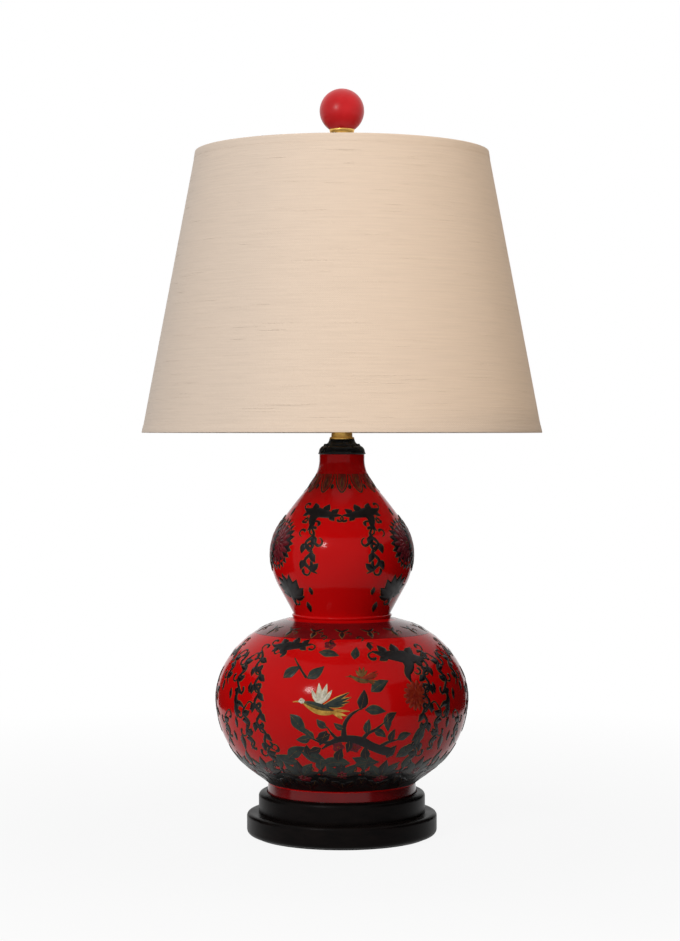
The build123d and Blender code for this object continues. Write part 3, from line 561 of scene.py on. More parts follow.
def smooth(points, parts=4):
    """A Catmull-Rom curve through points of any size."""
    points = [tuple(p) for p in points]
    ends = [points[0]] + points + [points[-1]]
    line = []
    for a, b, c, d in zip(ends, ends[1:], ends[2:], ends[3:]):
        for k in range(parts):
            t = k / parts
            line.append(tuple(
                0.5 * (2 * q + (r - p) * t + (2 * p - 5 * q + 4 * r - s) * t * t + (3 * q - p - 3 * r + s) * t ** 3)
                for p, q, r, s in zip(a, b, c, d)
            ))
    return line + [points[-1]]


def section(widest):
    """Places across a stroke and their share of its crown; a wide stroke needs more to follow the vase."""
    inner = 3 if widest < 9 else 2 * math.ceil(widest / 7) + 3
    across = [-1.0] + [-0.74 + 1.48 * k / (inner - 1) for k in range(inner)] + [1.0]
    return [(a, 1 - 0.5 * a * a if abs(a) < 1 else -1.0) for a in across]


def stroke(colour, spot, spine, widths, rise=0.45, lift=0.0, parts=4):
    """One brush stroke: a closed ribbon along a spine of (x, y), with a width at each of its points."""
    line = smooth([(x, y, w) for (x, y), w in zip(spine, widths)], parts)
    verts, faces = strokes.setdefault(colour, ([], []))
    first = len(verts)
    profile = section(max(widths))
    for k, (x, y, w) in enumerate(line):
        before, after = line[max(k - 1, 0)], line[min(k + 1, len(line) - 1)]
        along = Vector((after[0] - before[0], after[1] - before[1]))
        along = along.normalized() if along.length > 1e-6 else Vector((1, 0))
        half = max(w, THINNEST) / 2
        crown = rise * min(1.0, 0.35 + half / 1.5)
        for across, share in profile:
            angle, up_along = locate(spot, x - along.y * half * across, y + along.x * half * across)
            verts.append(on_vase(angle, up_along, lift + crown * share if share > 0 else -SUNK))
    faces += loft(len(line), len(profile), first)


def ink(spot, spine, widths, rise=0.5, edge=0.9, parts=4):
    """Black lacquer over a slightly wider stroke of old gold, which shows as a fine edge."""
    stroke("old_gold", spot, spine, [w + edge for w in widths], 0.2, 0.0, parts)
    stroke("black", spot, spine, widths, rise, 0.1, parts)


def lay(colour, material, name):
    """Everything brushed in one colour, as one closed mesh on the root body."""
    verts, faces = strokes.pop(colour)
    piece = solid(name, verts, faces, material)
    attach(piece, "root")
    print(f"{name}: {len(faces)} faces")
    return piece


print("a stroke of 4 points has", 4 * 3 + 1, "sections")

# %% Scrolls
def curl(spot, size, sweep=4.4, thick=0.36):
    """A comma: it starts as a thin tail, winds in and ends in a round drop."""
    x = y = 0.0
    spine = [(x, y)]
    for k in range(10):
        turn_ = sweep * ((k + 0.5) / 10) ** 1.25
        x, y = x + math.cos(turn_) * size * 0.24, y + math.sin(turn_) * size * 0.24
        spine.append((x, y))
    widths = [size * thick * s for s in (0.2, 0.4, 0.5, 0.58, 0.64, 0.72, 0.84, 1.05, 1.3, 1.1, 0.1)]
    ink(spot, spine, widths, parts=2)


def leaf(spot, long, wide, colour="leaf_green", bend=0.0, rib=True):
    """A pointed leaf with a rim line under it and, where it stands alone, a midrib on it."""
    spine = [(0, 0), (long * 0.3, bend * 0.6), (long * 0.62, bend * 0.7), (long, 0)]
    stroke("old_gold", spot, spine, [0.8, wide + 1.0, wide * 0.86 + 1.0, 0.4], 0.2)
    stroke(colour, spot, spine, [0.5, wide, wide * 0.84, 0.2], 0.46, 0.1)
    if rib:
        midrib = [(long * 0.06, 0), (long * 0.45, bend * 0.68), (long * 0.86, bend * 0.2)]
        stroke("old_gold", spot, midrib, [0.5, 0.5, 0.2], 0.14, 0.5)


def leaves(spot, rows, colour="black", **shape):
    """Several leaves inside one motif: the place, tilt, length and width of each."""
    for x, y, tilt, long, wide in rows:
        leaf(within(spot, x, y, tilt), long, wide, colour, **shape)


def bracket(spot, spur=20):
    """A cloud-like corner: a thick scrolled bar with lobes on it and a spur that hangs from it."""
    ink(spot, [(-21, 1), (-12, 0), (-2, 0.5), (7, 1), (15, 1), (23, 3)], [1, 7, 11, 13, 8.6, 1])
    lobes = (-10, 1, 132, 10, 7), (-2, 3, 104, 10, 8), (8, 3, 62, 10, 8), (-9, -1, -140, 9, 6), (14, 0, -42, 9, 6)
    leaves(spot, lobes, rib=False)
    ink(spot, [(6, 1), (8, -0.35 * spur), (6, -0.7 * spur), (9, -spur)], [12, 9.6, 6, 0.8])
    curl(within(spot, -20, 0.6, 195), 6)
    curl(within(spot, 21, 2.6, 10), 6)
    curl(within(spot, 12, -0.55 * spur, -50), 5)


def hook(spot):
    """A short upright bar with a hooked arm, as between two vines."""
    ink(spot, [(0, 12), (-1.5, 5), (0, 0), (-1, -6), (1, -12)], [1.4, 6.6, 8, 6.4, 1])
    ink(spot, [(0, 1), (6, 1.5), (12, -2)], [6.4, 5, 0.8])
    curl(within(spot, 1, 10, 60), 5)
    curl(within(spot, 1, -10, -60, 1, -1), 5)


def heading_of(here, there):
    return math.degrees(math.atan2(there[1] - here[1], there[0] - here[0]))


def vine(spot, path, size=6.4):
    """A stem along a path, with a curl on one side and a leaf on the other at each of its points."""
    ink(spot, path, [1.2] + [3.0] * (len(path) - 2) + [0.8], edge=0.9)
    for k in range(1, len(path) - 1):
        (x, y), heading = path[k], heading_of(path[k], path[k + 1])
        out = 1 if k % 2 else -1
        start = heading + 50 if out > 0 else 180 + heading + 50
        curl(within(spot, x, y, start, 1, out), size)
        leaf(within(spot, x, y, heading - 62 * out), size * 1.5, size * 0.95, "black", bend=1.2, rib=False)
    curl(within(spot, *path[0], heading_of(path[1], path[0])), size)


def drop(spot, size=4.0):
    ink(spot, [(0, size * 1.1), (0, size * 0.3), (0, -size * 0.6)], [0.4, size * 0.95, 1.2])


def disc(colour, spot, radius, rise=0.3, lift=0.0):
    """A round patch, brushed as one very wide stroke."""
    steps = [math.cos(math.pi * k / 12) for k in range(13)]
    widths = [2 * radius * math.sqrt(max(0, 1 - c * c)) for c in steps]
    stroke(colour, spot, [(-radius * c, 0) for c in steps], widths, rise, lift, 3)


print("scroll shapes: curl, bracket, hook, vine, drop")

# %% Leaf masses, flowers and birds
def leaf_mass(spot):
    """A fan of broad black leaves from one point, as at the sides of the upper belly."""
    for tilt, long, wide in ((176, 16, 8), (152, 21, 11), (128, 23, 12), (104, 23, 12), (78, 23, 12), (54, 23, 12),
                             (30, 21, 11), (6, 16, 8)):
        leaf(within(spot, 0, 0, tilt), long, wide, "black", bend=1.4, rib=False)
    ink(spot, [(0, 9), (0, 0), (1, -10)], [13, 9, 1])
    curl(within(spot, 4, -3, -30, 1, -1), 5)
    curl(within(spot, -4, -3, 210), 5)


def blossom(spot, petals, size, colour, heart="old_gold", rows=2):
    """A chrysanthemum or a plain flower: rings of petals round a raised heart."""
    for row in range(rows):
        reach = size * (1 - 0.34 * row)
        for k in range(petals):
            tilt = 360 * (k + 0.5 * row) / petals
            petal = within(spot, 0, 0, tilt)
            wide = 5.2 * reach / petals
            spine = [(reach * 0.16, 0), (reach * 0.62, 0), (reach, 0)]
            stroke(heart, petal, spine, [0.8, wide + 0.7, wide * 0.5 + 0.5], 0.16 + 0.12 * row, parts=3)
            stroke(colour, petal, spine, [0.5, wide, wide * 0.45], 0.34 + 0.16 * row, 0.08 + 0.1 * row, parts=3)
    stroke(heart, spot, [(-size * 0.15, 0), (0, 0), (size * 0.15, 0)], [0.4, size * 0.3, 0.4], 0.5, 0.25)


def bird(spot, cream="cream", green="leaf_green", gold="gold"):
    """A small bird in flight that faces left, one wing raised and one spread behind it."""
    for tip_x, tip_y, wide in ((-9, 13, 4.2), (-3, 19, 5.4), (4, 19, 5.4), (9, 14, 4.4)):
        wing = [(-1 + tip_x * 0.1, 1), (tip_x * 0.6, tip_y * 0.55), (tip_x, tip_y)]
        stroke(gold, spot, wing, [1.8, wide + 0.7, 0.6], 0.24, 0.0)
        stroke(cream, spot, wing, [1.4, wide, 0.3], 0.5, 0.1)
        stroke(green, spot, [(tip_x * 0.5, tip_y * 0.45), (tip_x * 0.9, tip_y * 0.9)], [0.5, 0.4], 0.2, 0.5)
    for tip_x, tip_y in ((24, 13), (26, 9), (25, 5), (21, 1.5)):
        wing = [(3, 0), (6 + tip_x * 0.35, tip_y * 0.5), (tip_x, tip_y)]
        stroke(gold, spot, wing, [2, 5, 0.7], 0.3, 0.05)
        stroke(green, spot, wing, [1.4, 3.6, 0.3], 0.5, 0.14)
    for tip_x, tip_y in ((26, -3), (24, -7), (20, -10)):
        stroke(gold, spot, [(9, -4), (17, tip_y * 0.7 - 1), (tip_x, tip_y)], [1.8, 3, 0.3], 0.46, 0.1)
    stroke(gold, spot, [(-15, 1), (-8, -1.6), (0, -4), (8, -5), (14, -4.4)], [2, 6.6, 8.4, 5.6, 0.8], 0.6, 0.1)
    stroke("dull_green", spot, [(-14, 1.4), (-7, 0.2), (1, -1.4), (12, -3.4)], [2.2, 6, 6.6, 1.2], 0.5, 0.42)
    stroke(green, spot, [(-12, 1.8), (-5, 1), (3, -0.6), (10, -2.2)], [1.4, 3.4, 3.4, 0.6], 0.5, 0.6)
    stroke(cream, spot, [(-19.4, 1.4), (-16.6, 2.2), (-13.2, 1.2)], [0.8, 5, 1.6], 0.7, 0.2)
    stroke(gold, spot, [(-18.6, 1.4), (-21.5, 1.2), (-24.5, 0.4)], [1.7, 1.2, 0.2], 0.5, 0.1)
    stroke("black", spot, [(-17.6, 2.6), (-17, 2.8), (-16.4, 2.6)], [0.2, 0.9, 0.2], 0.3, 0.9, 2)


def branch(spot):
    """A gnarled black branch from the lower right, with a rising stem, twigs, leaves and two blossoms."""
    limb = [(40, -19), (31, -17), (19, -12), (8, -6), (-7, -3.5), (-18, -7), (-27, -14)]
    ink(spot, limb, [9, 10, 9, 9.4, 7, 5, 0.9])
    ink(spot, [(-7, -3), (-7.5, 5), (-6, 12), (-1, 19), (7, 24)], [6, 4.4, 3.6, 2.8, 0.8])
    ink(spot, [(9, -6), (14, 1), (22, 5), (31, 12)], [5, 3.2, 2.2, 0.6])
    ink(spot, [(-12, -5), (-18, 1), (-23, 8)], [4, 2.2, 0.6])
    ink(spot, [(-17, -7), (-28, -7), (-38, -3)], [4, 2.4, 0.6])
    ink(spot, [(24, -14), (34, -8), (44, -6)], [4.6, 2.8, 0.6])
    for x, y, tilt, long, wide, green in (
        (-23, 7, 140, 12, 7, 1), (-20, 1, 200, 14, 8.6, 0), (-34, -4, 130, 13, 7, 1), (-38, -3, 190, 14, 8, 1),
        (-28, -13, -160, 14, 8, 0), (14, 1, 84, 14, 7, 1), (20, 4, -30, 14, 7.4, 1), (31, 11, 40, 14, 8, 0),
        (43, -6, 20, 15, 8, 1), (36, -8, 74, 13, 7, 0), (-2, -5, -100, 13, 7.4, 0), (-7, 6, 150, 11, 5.6, 1),
    ):
        leaf(within(spot, x, y, tilt), long, wide, "leaf_green" if green else "black", bend=1.3)
    for x, y in ((3, -12), (-12, -12)):
        blossom(within(spot, x, y), 5, 5.4, "maroon", rows=1)


print("leaves, flowers and birds ready")

# %% [markdown]
# The layout follows what such vases have: plain red round middles at the front and the back, framed by
# brackets and vines, with round medallions at the sides. Below the waist each round middle holds a
# branch with leaves and birds. The same panel is laid twice, at the front and at the back.

# %% Panels of the upper belly
def upper_panel(front):
    for flip in (-1, 1):
        def side(angle, height, tilt=0, size=1):
            return place(front + flip * angle, height, tilt * flip, size, flip)

        bracket(side(21.5, 309, 8, 0.92), 22)
        vine(side(28, 271), [(0, 27), (-4, 19), (3, 11), (-4, 3), (3, -5), (-2, -13), (-9, -17)], 7)
        curl(side(19, 287, 200), 6.4)
        curl(side(36, 288, 20), 6)
        leaf_mass(side(55, 231, 2, 1.06))
        drop(side(37, 220), 6.6)
        drop(side(29, 236), 5)
        curl(side(38, 306, 200), 5.4)
        drop(side(66, 309), 5)


def roundel(ring, radius, reach, widths, rise, lift=0.0):
    """A black disc with a ring of 24 points round its edge."""
    disc("black", ring, radius, 0.2, lift)
    dart = [(radius - 1, 0), (radius + 1, 0), (radius + reach, 0)]
    for k in range(24):
        ink(within(ring, 0, 0, 15 * k), dart, widths, rise, 0.7, 2)


upper_panel(0)
upper_panel(180)
ROUNDEL_Z = 281
for middle in (-90, 90):
    for angle in (middle - 24, middle + 24):
        ring = place(angle, ROUNDEL_Z)
        roundel(ring, 22, 4, [6, 4.4, 0.3], 0.3)
        blossom(ring, 16, 20.5, "maroon", rows=3)
    ring = place(middle, ROUNDEL_Z)
    roundel(ring, 24, 5, [6.4, 4.6, 0.3], 0.7, 0.75)
    for row, (reach, wide, colour) in enumerate(((22.5, 6.6, "maroon"), (16, 5.4, "rust"), (9.5, 4.2, "maroon"))):
        for k in range(16 - 4 * row):
            petal, lift = within(ring, 0, 0, 360 * k / (16 - 4 * row)), 0.12 * row
            spine = [(2, 0), (reach * 0.7, 0), (reach, 0)]
            stroke("old_gold", petal, spine, [1, wide + 0.7, 1], 0.14, 0.82 + lift, 3)
            stroke(colour, petal, spine[:2] + [(reach - 0.3, 0)], [0.6, wide, 0.4], 0.22, 0.86 + lift, 3)
print("upper belly:", {c: len(v[1]) for c, v in strokes.items()})

# %% Panels of the lower belly
def lower_panel(front):
    def at(angle, height, tilt=0, size=1, flip=1):
        return place(front + angle, height, tilt, size, flip)

    bracket(at(-30, 188, 8, 0.96, -1), 13)
    bracket(at(31, 179, -14, 1.22), 20)
    for spot in ((-12, 194, 20), (-4, 194, 160), (12, 193, 30), (19, 191, 150)):
        curl(at(*spot), 5.4)
    leaf(at(-12.6, 184, -12), 20, 9, bend=1.2)
    blossom(at(-7, 190), 5, 5.5, "maroon", rows=1)
    leaf(at(6.4, 178, 78), 15, 8)
    drop(at(16, 188), 6)
    ink(at(-16.6, 161), [(-15, 21), (-8, 11), (0, 1)], [0.8, 1.8, 2.2], edge=0.7)
    leaf(at(-28, 161, 40), 19, 10.5, bend=1.4)
    leaf(at(-16.2, 161.5, 42), 19, 10.5, bend=-1.2)
    bird(at(-9.5, 138, -4, 1.06))
    bird(at(9, 162, -4, 0.6), "old_gold", "rust", "old_gold")
    branch(at(4.4, 111))
    leaf(at(13, 150, 30), 20, 11, bend=1.2)
    leaf(at(8, 134, 78), 19, 10, "black", bend=-1)
    leaf(at(10, 134, -6), 20, 9, bend=1)
    leaf(at(20, 130, -85), 17, 8)
    leaf(at(-23, 129, -52), 23, 11.5, bend=1.2)
    leaf(at(-6.8, 115, -115), 16, 10.5, "black")
    for spot in ((-27, 87, 35), (-22, 84, 165), (-10, 82, 12), (-8, 87, 160), (4, 84, 170), (6, 81, 10),
                 (17, 84, 165), (27, 88, 30), (36, 98, 70)):
        leaf(at(*spot), 24, 12, bend=1.6)
    for spot in ((-15, 88, 100), (-2, 86, 75), (12, 87, 100), (22, 88, 60)):
        leaf(at(*spot), 15, 9, "black", bend=1.2)
    for side in (-1, 1):
        zone = at(side * 61, 141, 0, 1, side)
        if side > 0:
            blossom(within(zone, -54, 4), 14, 14, "rust", "rust", 3)
        for path in (
            [(-20, 48), (-28, 40), (-28, 30), (-38, 23), (-36, 13), (-44, 6), (-40, -4), (-48, -12), (-42, -22),
             (-50, -31), (-46, -41), (-54, -48)],
            [(-15, 42), (-9, 34), (-16, 26), (-9, 17), (-15, 8), (-22, 2)],
            [(-30, -6), (-24, -15), (-32, -23), (-25, -33), (-32, -42), (-24, -50)],
            [(8, 44), (15, 36), (8, 27), (14, 18), (7, 9)],
            [(4, -16), (12, -24), (5, -33), (12, -42), (22, -50)],
            [(-52, -44), (-44, -52), (-50, -60), (-40, -66)],
            [(30, 52), (24, 44), (32, 38), (42, 42)],
        ):
            vine(zone, path, 6.8)
        hook(within(zone, -14, -8, 0, 1.0, -1))
        for x, y in ((-31, 8), (-2, 0), (-14, -14), (-3, 38), (-12, -26), (-4, -40), (18, 6)):
            drop(within(zone, x, y), 6)
        leaf(within(zone, -17, -36, -80), 17, 8, "black")


lower_panel(0)
lower_panel(180)
for middle in (-90, 90):
    medal = place(middle, 132)
    disc("black", medal, 21, 0.2)
    blossom(medal, 16, 20, "maroon", "old_gold", 3)
    for k in range(8):
        spoke = within(medal, 0, 0, 45 * k + 22)
        leaf(within(spoke, 21, 0), 14, 7, "black")
        curl(within(medal, *[24 * f(math.radians(45 * k)) for f in (math.cos, math.sin)], 45 * k + 70), 6)
print("lower belly:", {c: len(v[1]) for c, v in strokes.items()})

# %% Finishes of the lacquer
LACQUER = dict(Specular_IOR_Level=0.18)
lacquers = {
    "black": (paint(14, 11, 12), paint(9, 6, 8), paint(24, 19, 19)),
    "leaf_green": (paint(30, 40, 38), paint(18, 29, 30), paint(46, 54, 46)),
    "dull_green": (paint(74, 66, 36), paint(56, 46, 26), paint(92, 84, 48)),
    "old_gold": (paint(92, 58, 26), paint(66, 26, 14), paint(124, 90, 42)),
    "gold": (paint(190, 142, 56), paint(150, 104, 38), paint(220, 178, 84)),
    "cream": (paint(214, 204, 180), paint(168, 158, 130), paint(240, 234, 220)),
    "maroon": (paint(92, 14, 26), paint(70, 8, 18), paint(118, 26, 36)),
    "rust": (paint(124, 24, 12), paint(108, 14, 9), paint(140, 44, 20)),
}
brushed = {
    colour: dress(finish("lacquer " + colour.replace("_", " "), base, 0.36, **LACQUER),
                  shades=(220, dark, light), rough=(200, 0.28, 0.46), bump=(700, 0.0002, 0.2))
    for colour, (base, dark, light) in lacquers.items()
}
for colour in list(strokes):
    lay(colour, brushed[colour], "brushed_" + colour)

# %% [markdown]
# ## Bands
# Three bands run right round the vase: hanging lappets on the neck, small marks on the collar above the
# lower belly, and dense leaves with dark flowers round its foot. A band is one motif repeated, so a small
# Geometry Nodes tree turns copies of the motif about the axis and makes them real.

# %% The ring tree
def ring_tree():
    tree, given = new_tree("ring of", [("Geometry", "Geometry"), ("Count", "Int"), ("Material", "Material")])
    count = given["Count"]
    points = node(tree, "GeometryNodeMeshLine", {"Count": count, "Offset": (0.0, 0.0, 0.0)})
    share = maths(tree, "DIVIDE", node(tree, "GeometryNodeInputIndex"), count)
    spin = node(tree, "ShaderNodeCombineXYZ", {2: maths(tree, "MULTIPLY", share, 2 * math.pi)})
    copies = node(tree, "GeometryNodeInstanceOnPoints", {
        "Points": points, "Instance": given["Geometry"], "Rotation": spin})
    return end_tree(tree, copies)


ring_of = ring_tree()


def band(name, count):
    """Turn everything brushed so far into a ring of copies, one piece for each colour."""
    for colour in list(strokes):
        motif = lay(colour, brushed[colour], f"{name}_{colour}")
        made = grow(ring_of, motif.data, f"{name}_ring_{colour}", Count=count, Material=brushed[colour])
        bpy.data.objects.remove(motif)
        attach(made, "root")


print("the ring tree has", len(ring_of.nodes), "nodes")

# %% Bands on the neck, the collar and the foot
LAPPET_Z, COLLAR_Z, FOOT_Z = 345, 200, 70
lappet = place(0, LAPPET_Z)
stroke("rust", lappet, [(0, 1), (0, -6), (0, -13), (0, -18)], [8.6, 9.4, 7, 0.6], 0.12)
rim = [(-5.6, 1), (-5.2, -8), (-3.4, -15), (0, -19.6), (3.4, -15), (5.2, -8), (5.6, 1)]
ink(lappet, rim, [0.5, 0.9, 1.0, 1.4, 1.0, 0.9, 0.5], 0.3, 0.7)
stroke("old_gold", lappet, [(0, -2), (0, -9), (0, -15)], [0.4, 4, 0.4], 0.3, 0.1)
stroke("maroon", lappet, [(0, -4), (0, -9), (0, -13)], [0.3, 2.2, 0.3], 0.3, 0.3)
drop(within(lappet, 7.4, -13.5), 3.4)
band("lappets", 12)

collar = place(0, COLLAR_Z, 0, 1.5)
ink(collar, [(-4.2, 4.6), (-2, 2.4), (0, 1.2), (2, 2.4), (4.2, 4.6)], [0.5, 2.2, 2.6, 2.2, 0.5], 0.3, 0.6)
stroke("old_gold", collar, [(0, 1), (0, -2.6), (0, -7)], [1, 4.8, 0.5], 0.3)
stroke("black", collar, [(0, 0.6), (0, -2.6), (0, -6.2)], [0.6, 3.4, 0.4], 0.4, 0.1)
curl(within(collar, 4.4, -3.4, 20, 0.7), 4)
band("collar", 18)

for turn_ in (0, 22.5):
    foot = place(turn_, FOOT_Z)
    for tilt, long, wide in ((90, 23, 12), (54, 24, 11), (128, 24, 11), (22, 20, 10), (160, 20, 10)):
        leaf(within(foot, 0, -2, tilt), long, wide, "black" if tilt in (90, 22, 160) else "leaf_green", bend=1.5)
    leaf(within(foot, 20, 8, 80), 18, 9, "leaf_green", bend=1.5)
    leaf(within(foot, 20, 2, 20), 13, 7, "black", bend=1.5)
    skirt = (-10, -8, -60, 17), (10, -8, -120, 17), (0, -12, -90, 15), (-15, -2, 250, 17), (15, -2, -70, 17)
    leaves(foot, [(*row, 10) for row in skirt], bend=1.2)
    blossom(within(foot, 0, -4 if turn_ else 3), 6, 7.5, "maroon", "old_gold", 2)
    curl(within(foot, 12, 8, 50), 5)
    curl(within(foot, -12, 8, 130, 1, -1), 5)
    drop(within(foot, 19, 5), 5)
band("foliage", 8)

# A darker red glaze for the collar band. The foot ring takes it too, and there the dark red is partly the foot's own
# glaze and partly painted shade for the shadow under the overhanging lower belly.
dark_glaze_and_shade = dress(finish("dark red glaze", paint(112, 12, 16), 0.14, Specular_IOR_Level=0.2),
                   shades=(24, paint(98, 9, 13), paint(124, 15, 19)), rough=(40, 0.12, 0.2), bump=(90, 0.0003, 0.04))
dark_band = dress(finish("black painted ground", paint(13, 14, 14), 0.4, Specular_IOR_Level=0.15),
                  shades=(60, paint(9, 10, 11), paint(20, 22, 21)), rough=(60, 0.32, 0.46), bump=(160, 0.0002, 0.06))


def ring_edge(lengths, lift):
    """Radius and height, in millimetres, of places along the vase's outline, lifted off it."""
    return [(math.hypot(x, y) / MM, z / MM) for x, y, z in (on_vase(0, a, lift) for a in lengths)]


RING_UP, RING_DOWN = 0.14, 0.2
ground_low, ground_high = along_at(GOURD_Z + 12.2), along_at(GOURD_Z + 31)
for name, lengths, ring_finish in (
    # the foot ring: dark red glaze, darkened further as painted shade from the lower belly above it
    ("foot_glaze_and_shade", [0.4, 3, 6, 9, 10.6], dark_glaze_and_shade),
    ("brushed_ground", [ground_low + (ground_high - ground_low) * k / 10 for k in range(11)], dark_band),
    ("brushed_collar", [along_at(h) for h in (194.5, 197, 200, 203, 205, 206.6)], dark_glaze_and_shade),
):
    ring = turn(name, ring_edge(lengths, RING_UP) + ring_edge(lengths[::-1], -RING_DOWN), ring_finish, steps=FINE)

# %% [markdown]
# ## The shade
# A drum shade is a flat sheet cut as a ring segment and rolled into a cone, so it has one seam, at the
# back, where the ends lap. The cloth is laid on styrene, and its top and bottom edges are folded over the
# wire rings as narrow hems. The cloth and the hems are turned like the vase, but as skins.

# %% Shade cloth
SHADE_TOP_R, SHADE_BOTTOM_R, SHADE_TOP_Z, SHADE_H = 139.7, 190.5, 651.8, 266.5
LEAN = (SHADE_BOTTOM_R - SHADE_TOP_R) / SHADE_H


def shade_r(z, inset=0.0):
    return SHADE_TOP_R + (SHADE_TOP_Z - z) * LEAN - inset


def skin(name, low, high, inset, thick, material, stands_for, rows=24):
    heights = [low + (high - low) * k / rows for k in range(rows + 1)]
    outer = [(shade_r(z, inset), z) for z in heights]
    inner = [(shade_r(z, inset + thick), z) for z in heights[::-1]]
    return turn(name, outer + inner, material, body="shade", steps=FINE, stands_for=stands_for)


SHADE_BOTTOM_Z = SHADE_TOP_Z - SHADE_H
cloth = skin("shade_cloth", SHADE_BOTTOM_Z, SHADE_TOP_Z, 0.0, 0.6, linen, ("shade_cover",))


def hem(name, edge, inward, stands_for):
    """A band folded over the edge: it is thickest at the fold and feathers out on the cloth."""
    fold = [(7, -0.04), (7, -0.14), (3, -0.4), (0.3, -0.44), (-0.25, -0.32), (-0.42, 0.0), (-0.42, 1.05),
            (-0.1, 1.14), (-0.05, 0.6), (-0.05, -0.04)]
    outline = [(shade_r(edge + inward * into, inset), edge + inward * into) for into, inset in fold]
    return turn(name, outline, linen, body="shade", steps=FINE, crease=0.9, stands_for=(stands_for,))


hems = [hem("hem_top", SHADE_TOP_Z, -1, "top_hem"), hem("hem_bottom", SHADE_BOTTOM_Z, 1, "bottom_hem")]

# %% The lap at the back
LAP_HALF, LAP_ROWS, HEM_W = 6.0, 24, 7.2
LAP_SECTION = [(-1.0, -0.3), (-0.86, 0.3), (0.0, 0.34), (0.86, 0.3), (1.0, -0.3)]
verts, flat_spots = [], []
for row in range(LAP_ROWS + 1):
    z = SHADE_BOTTOM_Z + HEM_W + (SHADE_H - 2 * HEM_W) * row / LAP_ROWS
    for side, lift in LAP_SECTION:
        r = shade_r(z, -lift)
        angle = side * LAP_HALF / shade_r(z)
        verts.append((r * math.sin(angle) * MM, r * math.cos(angle) * MM, z * MM))
        flat_spots.append((0.5 + angle / (2 * math.pi), z * MM))
lap = solid("shade_lap", verts, loft(LAP_ROWS + 1, len(LAP_SECTION)), linen)
layer = lap.data.uv_layers.new(name="UVMap")
for corner in lap.data.loops:
    layer.data[corner.index].uv = flat_spots[corner.vertex_index]
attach(lap, "shade")
print("lap at the back:", len(lap.data.polygons), "faces")

# %% [markdown]
# ## Slubs
# Linen thread is spun from fibres of uneven length, so here and there it swells into a slub a few
# centimetres long. A Geometry Nodes tree scatters one small spindle over the cloth while it is still a
# flat strip, with a fixed seed, and then wraps the strip round the cone, so that every slub bends with it.

# %% The slub tree
def slub_tree():
    tree, given = new_tree("slubs", [
        ("Geometry", "Geometry"), ("Count", "Int"), ("Seed", "Int"), ("Low", "Float"), ("High", "Float"),
        ("Top Radius", "Float"), ("Lean", "Float"), ("Material", "Material")])
    seed = given["Seed"]

    def chance(low, high, extra):
        return node(tree, "FunctionNodeRandomValue", {2: low, 3: high, "Seed": maths(tree, "ADD", seed, extra)},
                    data_type="FLOAT").outputs[1]

    points = node(tree, "GeometryNodeMeshLine", {"Count": given["Count"], "Offset": (0.0, 0.0, 0.0)})
    spot = node(tree, "ShaderNodeCombineXYZ", {
        0: chance(-math.pi, math.pi, 1.0), 2: chance(given["Low"], given["High"], 2.0)})
    scattered = node(tree, "GeometryNodeSetPosition", {"Geometry": points.outputs[0], "Position": spot.outputs[0]})
    size = node(tree, "ShaderNodeCombineXYZ", {
        0: chance(0.08, 0.34, 3.0), 1: chance(0.6, 1.1, 4.0), 2: chance(0.6, 1.3, 5.0)})
    copies = node(tree, "GeometryNodeInstanceOnPoints", {
        "Points": scattered, "Instance": given["Geometry"], "Scale": size})
    real = node(tree, "GeometryNodeRealizeInstances", {0: copies})
    x, y, z = node(tree, "ShaderNodeSeparateXYZ", {0: node(tree, "GeometryNodeInputPosition")}).outputs
    down = maths(tree, "SUBTRACT", given["High"], z)
    cone_r = maths(tree, "MULTIPLY_ADD", down, given["Lean"], given["Top Radius"])
    radius = maths(tree, "ADD", cone_r, y)
    wrapped = wrap(tree, x, radius, z)
    laid = node(tree, "GeometryNodeSetPosition", {"Geometry": real, "Position": wrapped})
    return end_tree(tree, laid)


slub_thread = dress(finish("slub thread", paint(224, 204, 185), 0.92, Sheen_Weight=0.2),
                    shades=(400, paint(216, 196, 176), paint(231, 212, 194)), bump=(1800, 0.0001, 0.3))
spindle = bpy.data.meshes.new("slub spindle")
verts = []
for k in range(9):
    swell = math.sin(math.pi * k / 8) ** 0.8 if 0 < k < 8 else 0.04
    for y, z in ((-0.04, 0.0), (0.0, 0.2), (0.1, 0.0), (0.0, -0.2)):
        verts.append((k / 8 - 0.5, y * swell * MM, z * swell * MM))
spindle.from_pydata(verts, [], loft(9, 4))
CLEAR = 9
slubs = grow(slub_tree(), spindle, "shade_slubs", **{
    "Count": 280, "Seed": 7, "Low": (SHADE_BOTTOM_Z + CLEAR) * MM, "High": (SHADE_TOP_Z - CLEAR) * MM,
    "Top Radius": shade_r(SHADE_TOP_Z - CLEAR) * MM, "Lean": LEAN, "Material": slub_thread})
heal(slubs.data)
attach(slubs, "shade")
print("slubs:", len(slubs.data.polygons), "faces")

# %% [markdown]
# ## Cap, neck and finial
# The enamelled cap, the brass neck on it, the brass seat under the ball and the ball itself are lathe work.
# Their outlines repeat the CAD model's arcs, but with a small round on each edge and enough steps for the
# metal to mirror the room without facets.

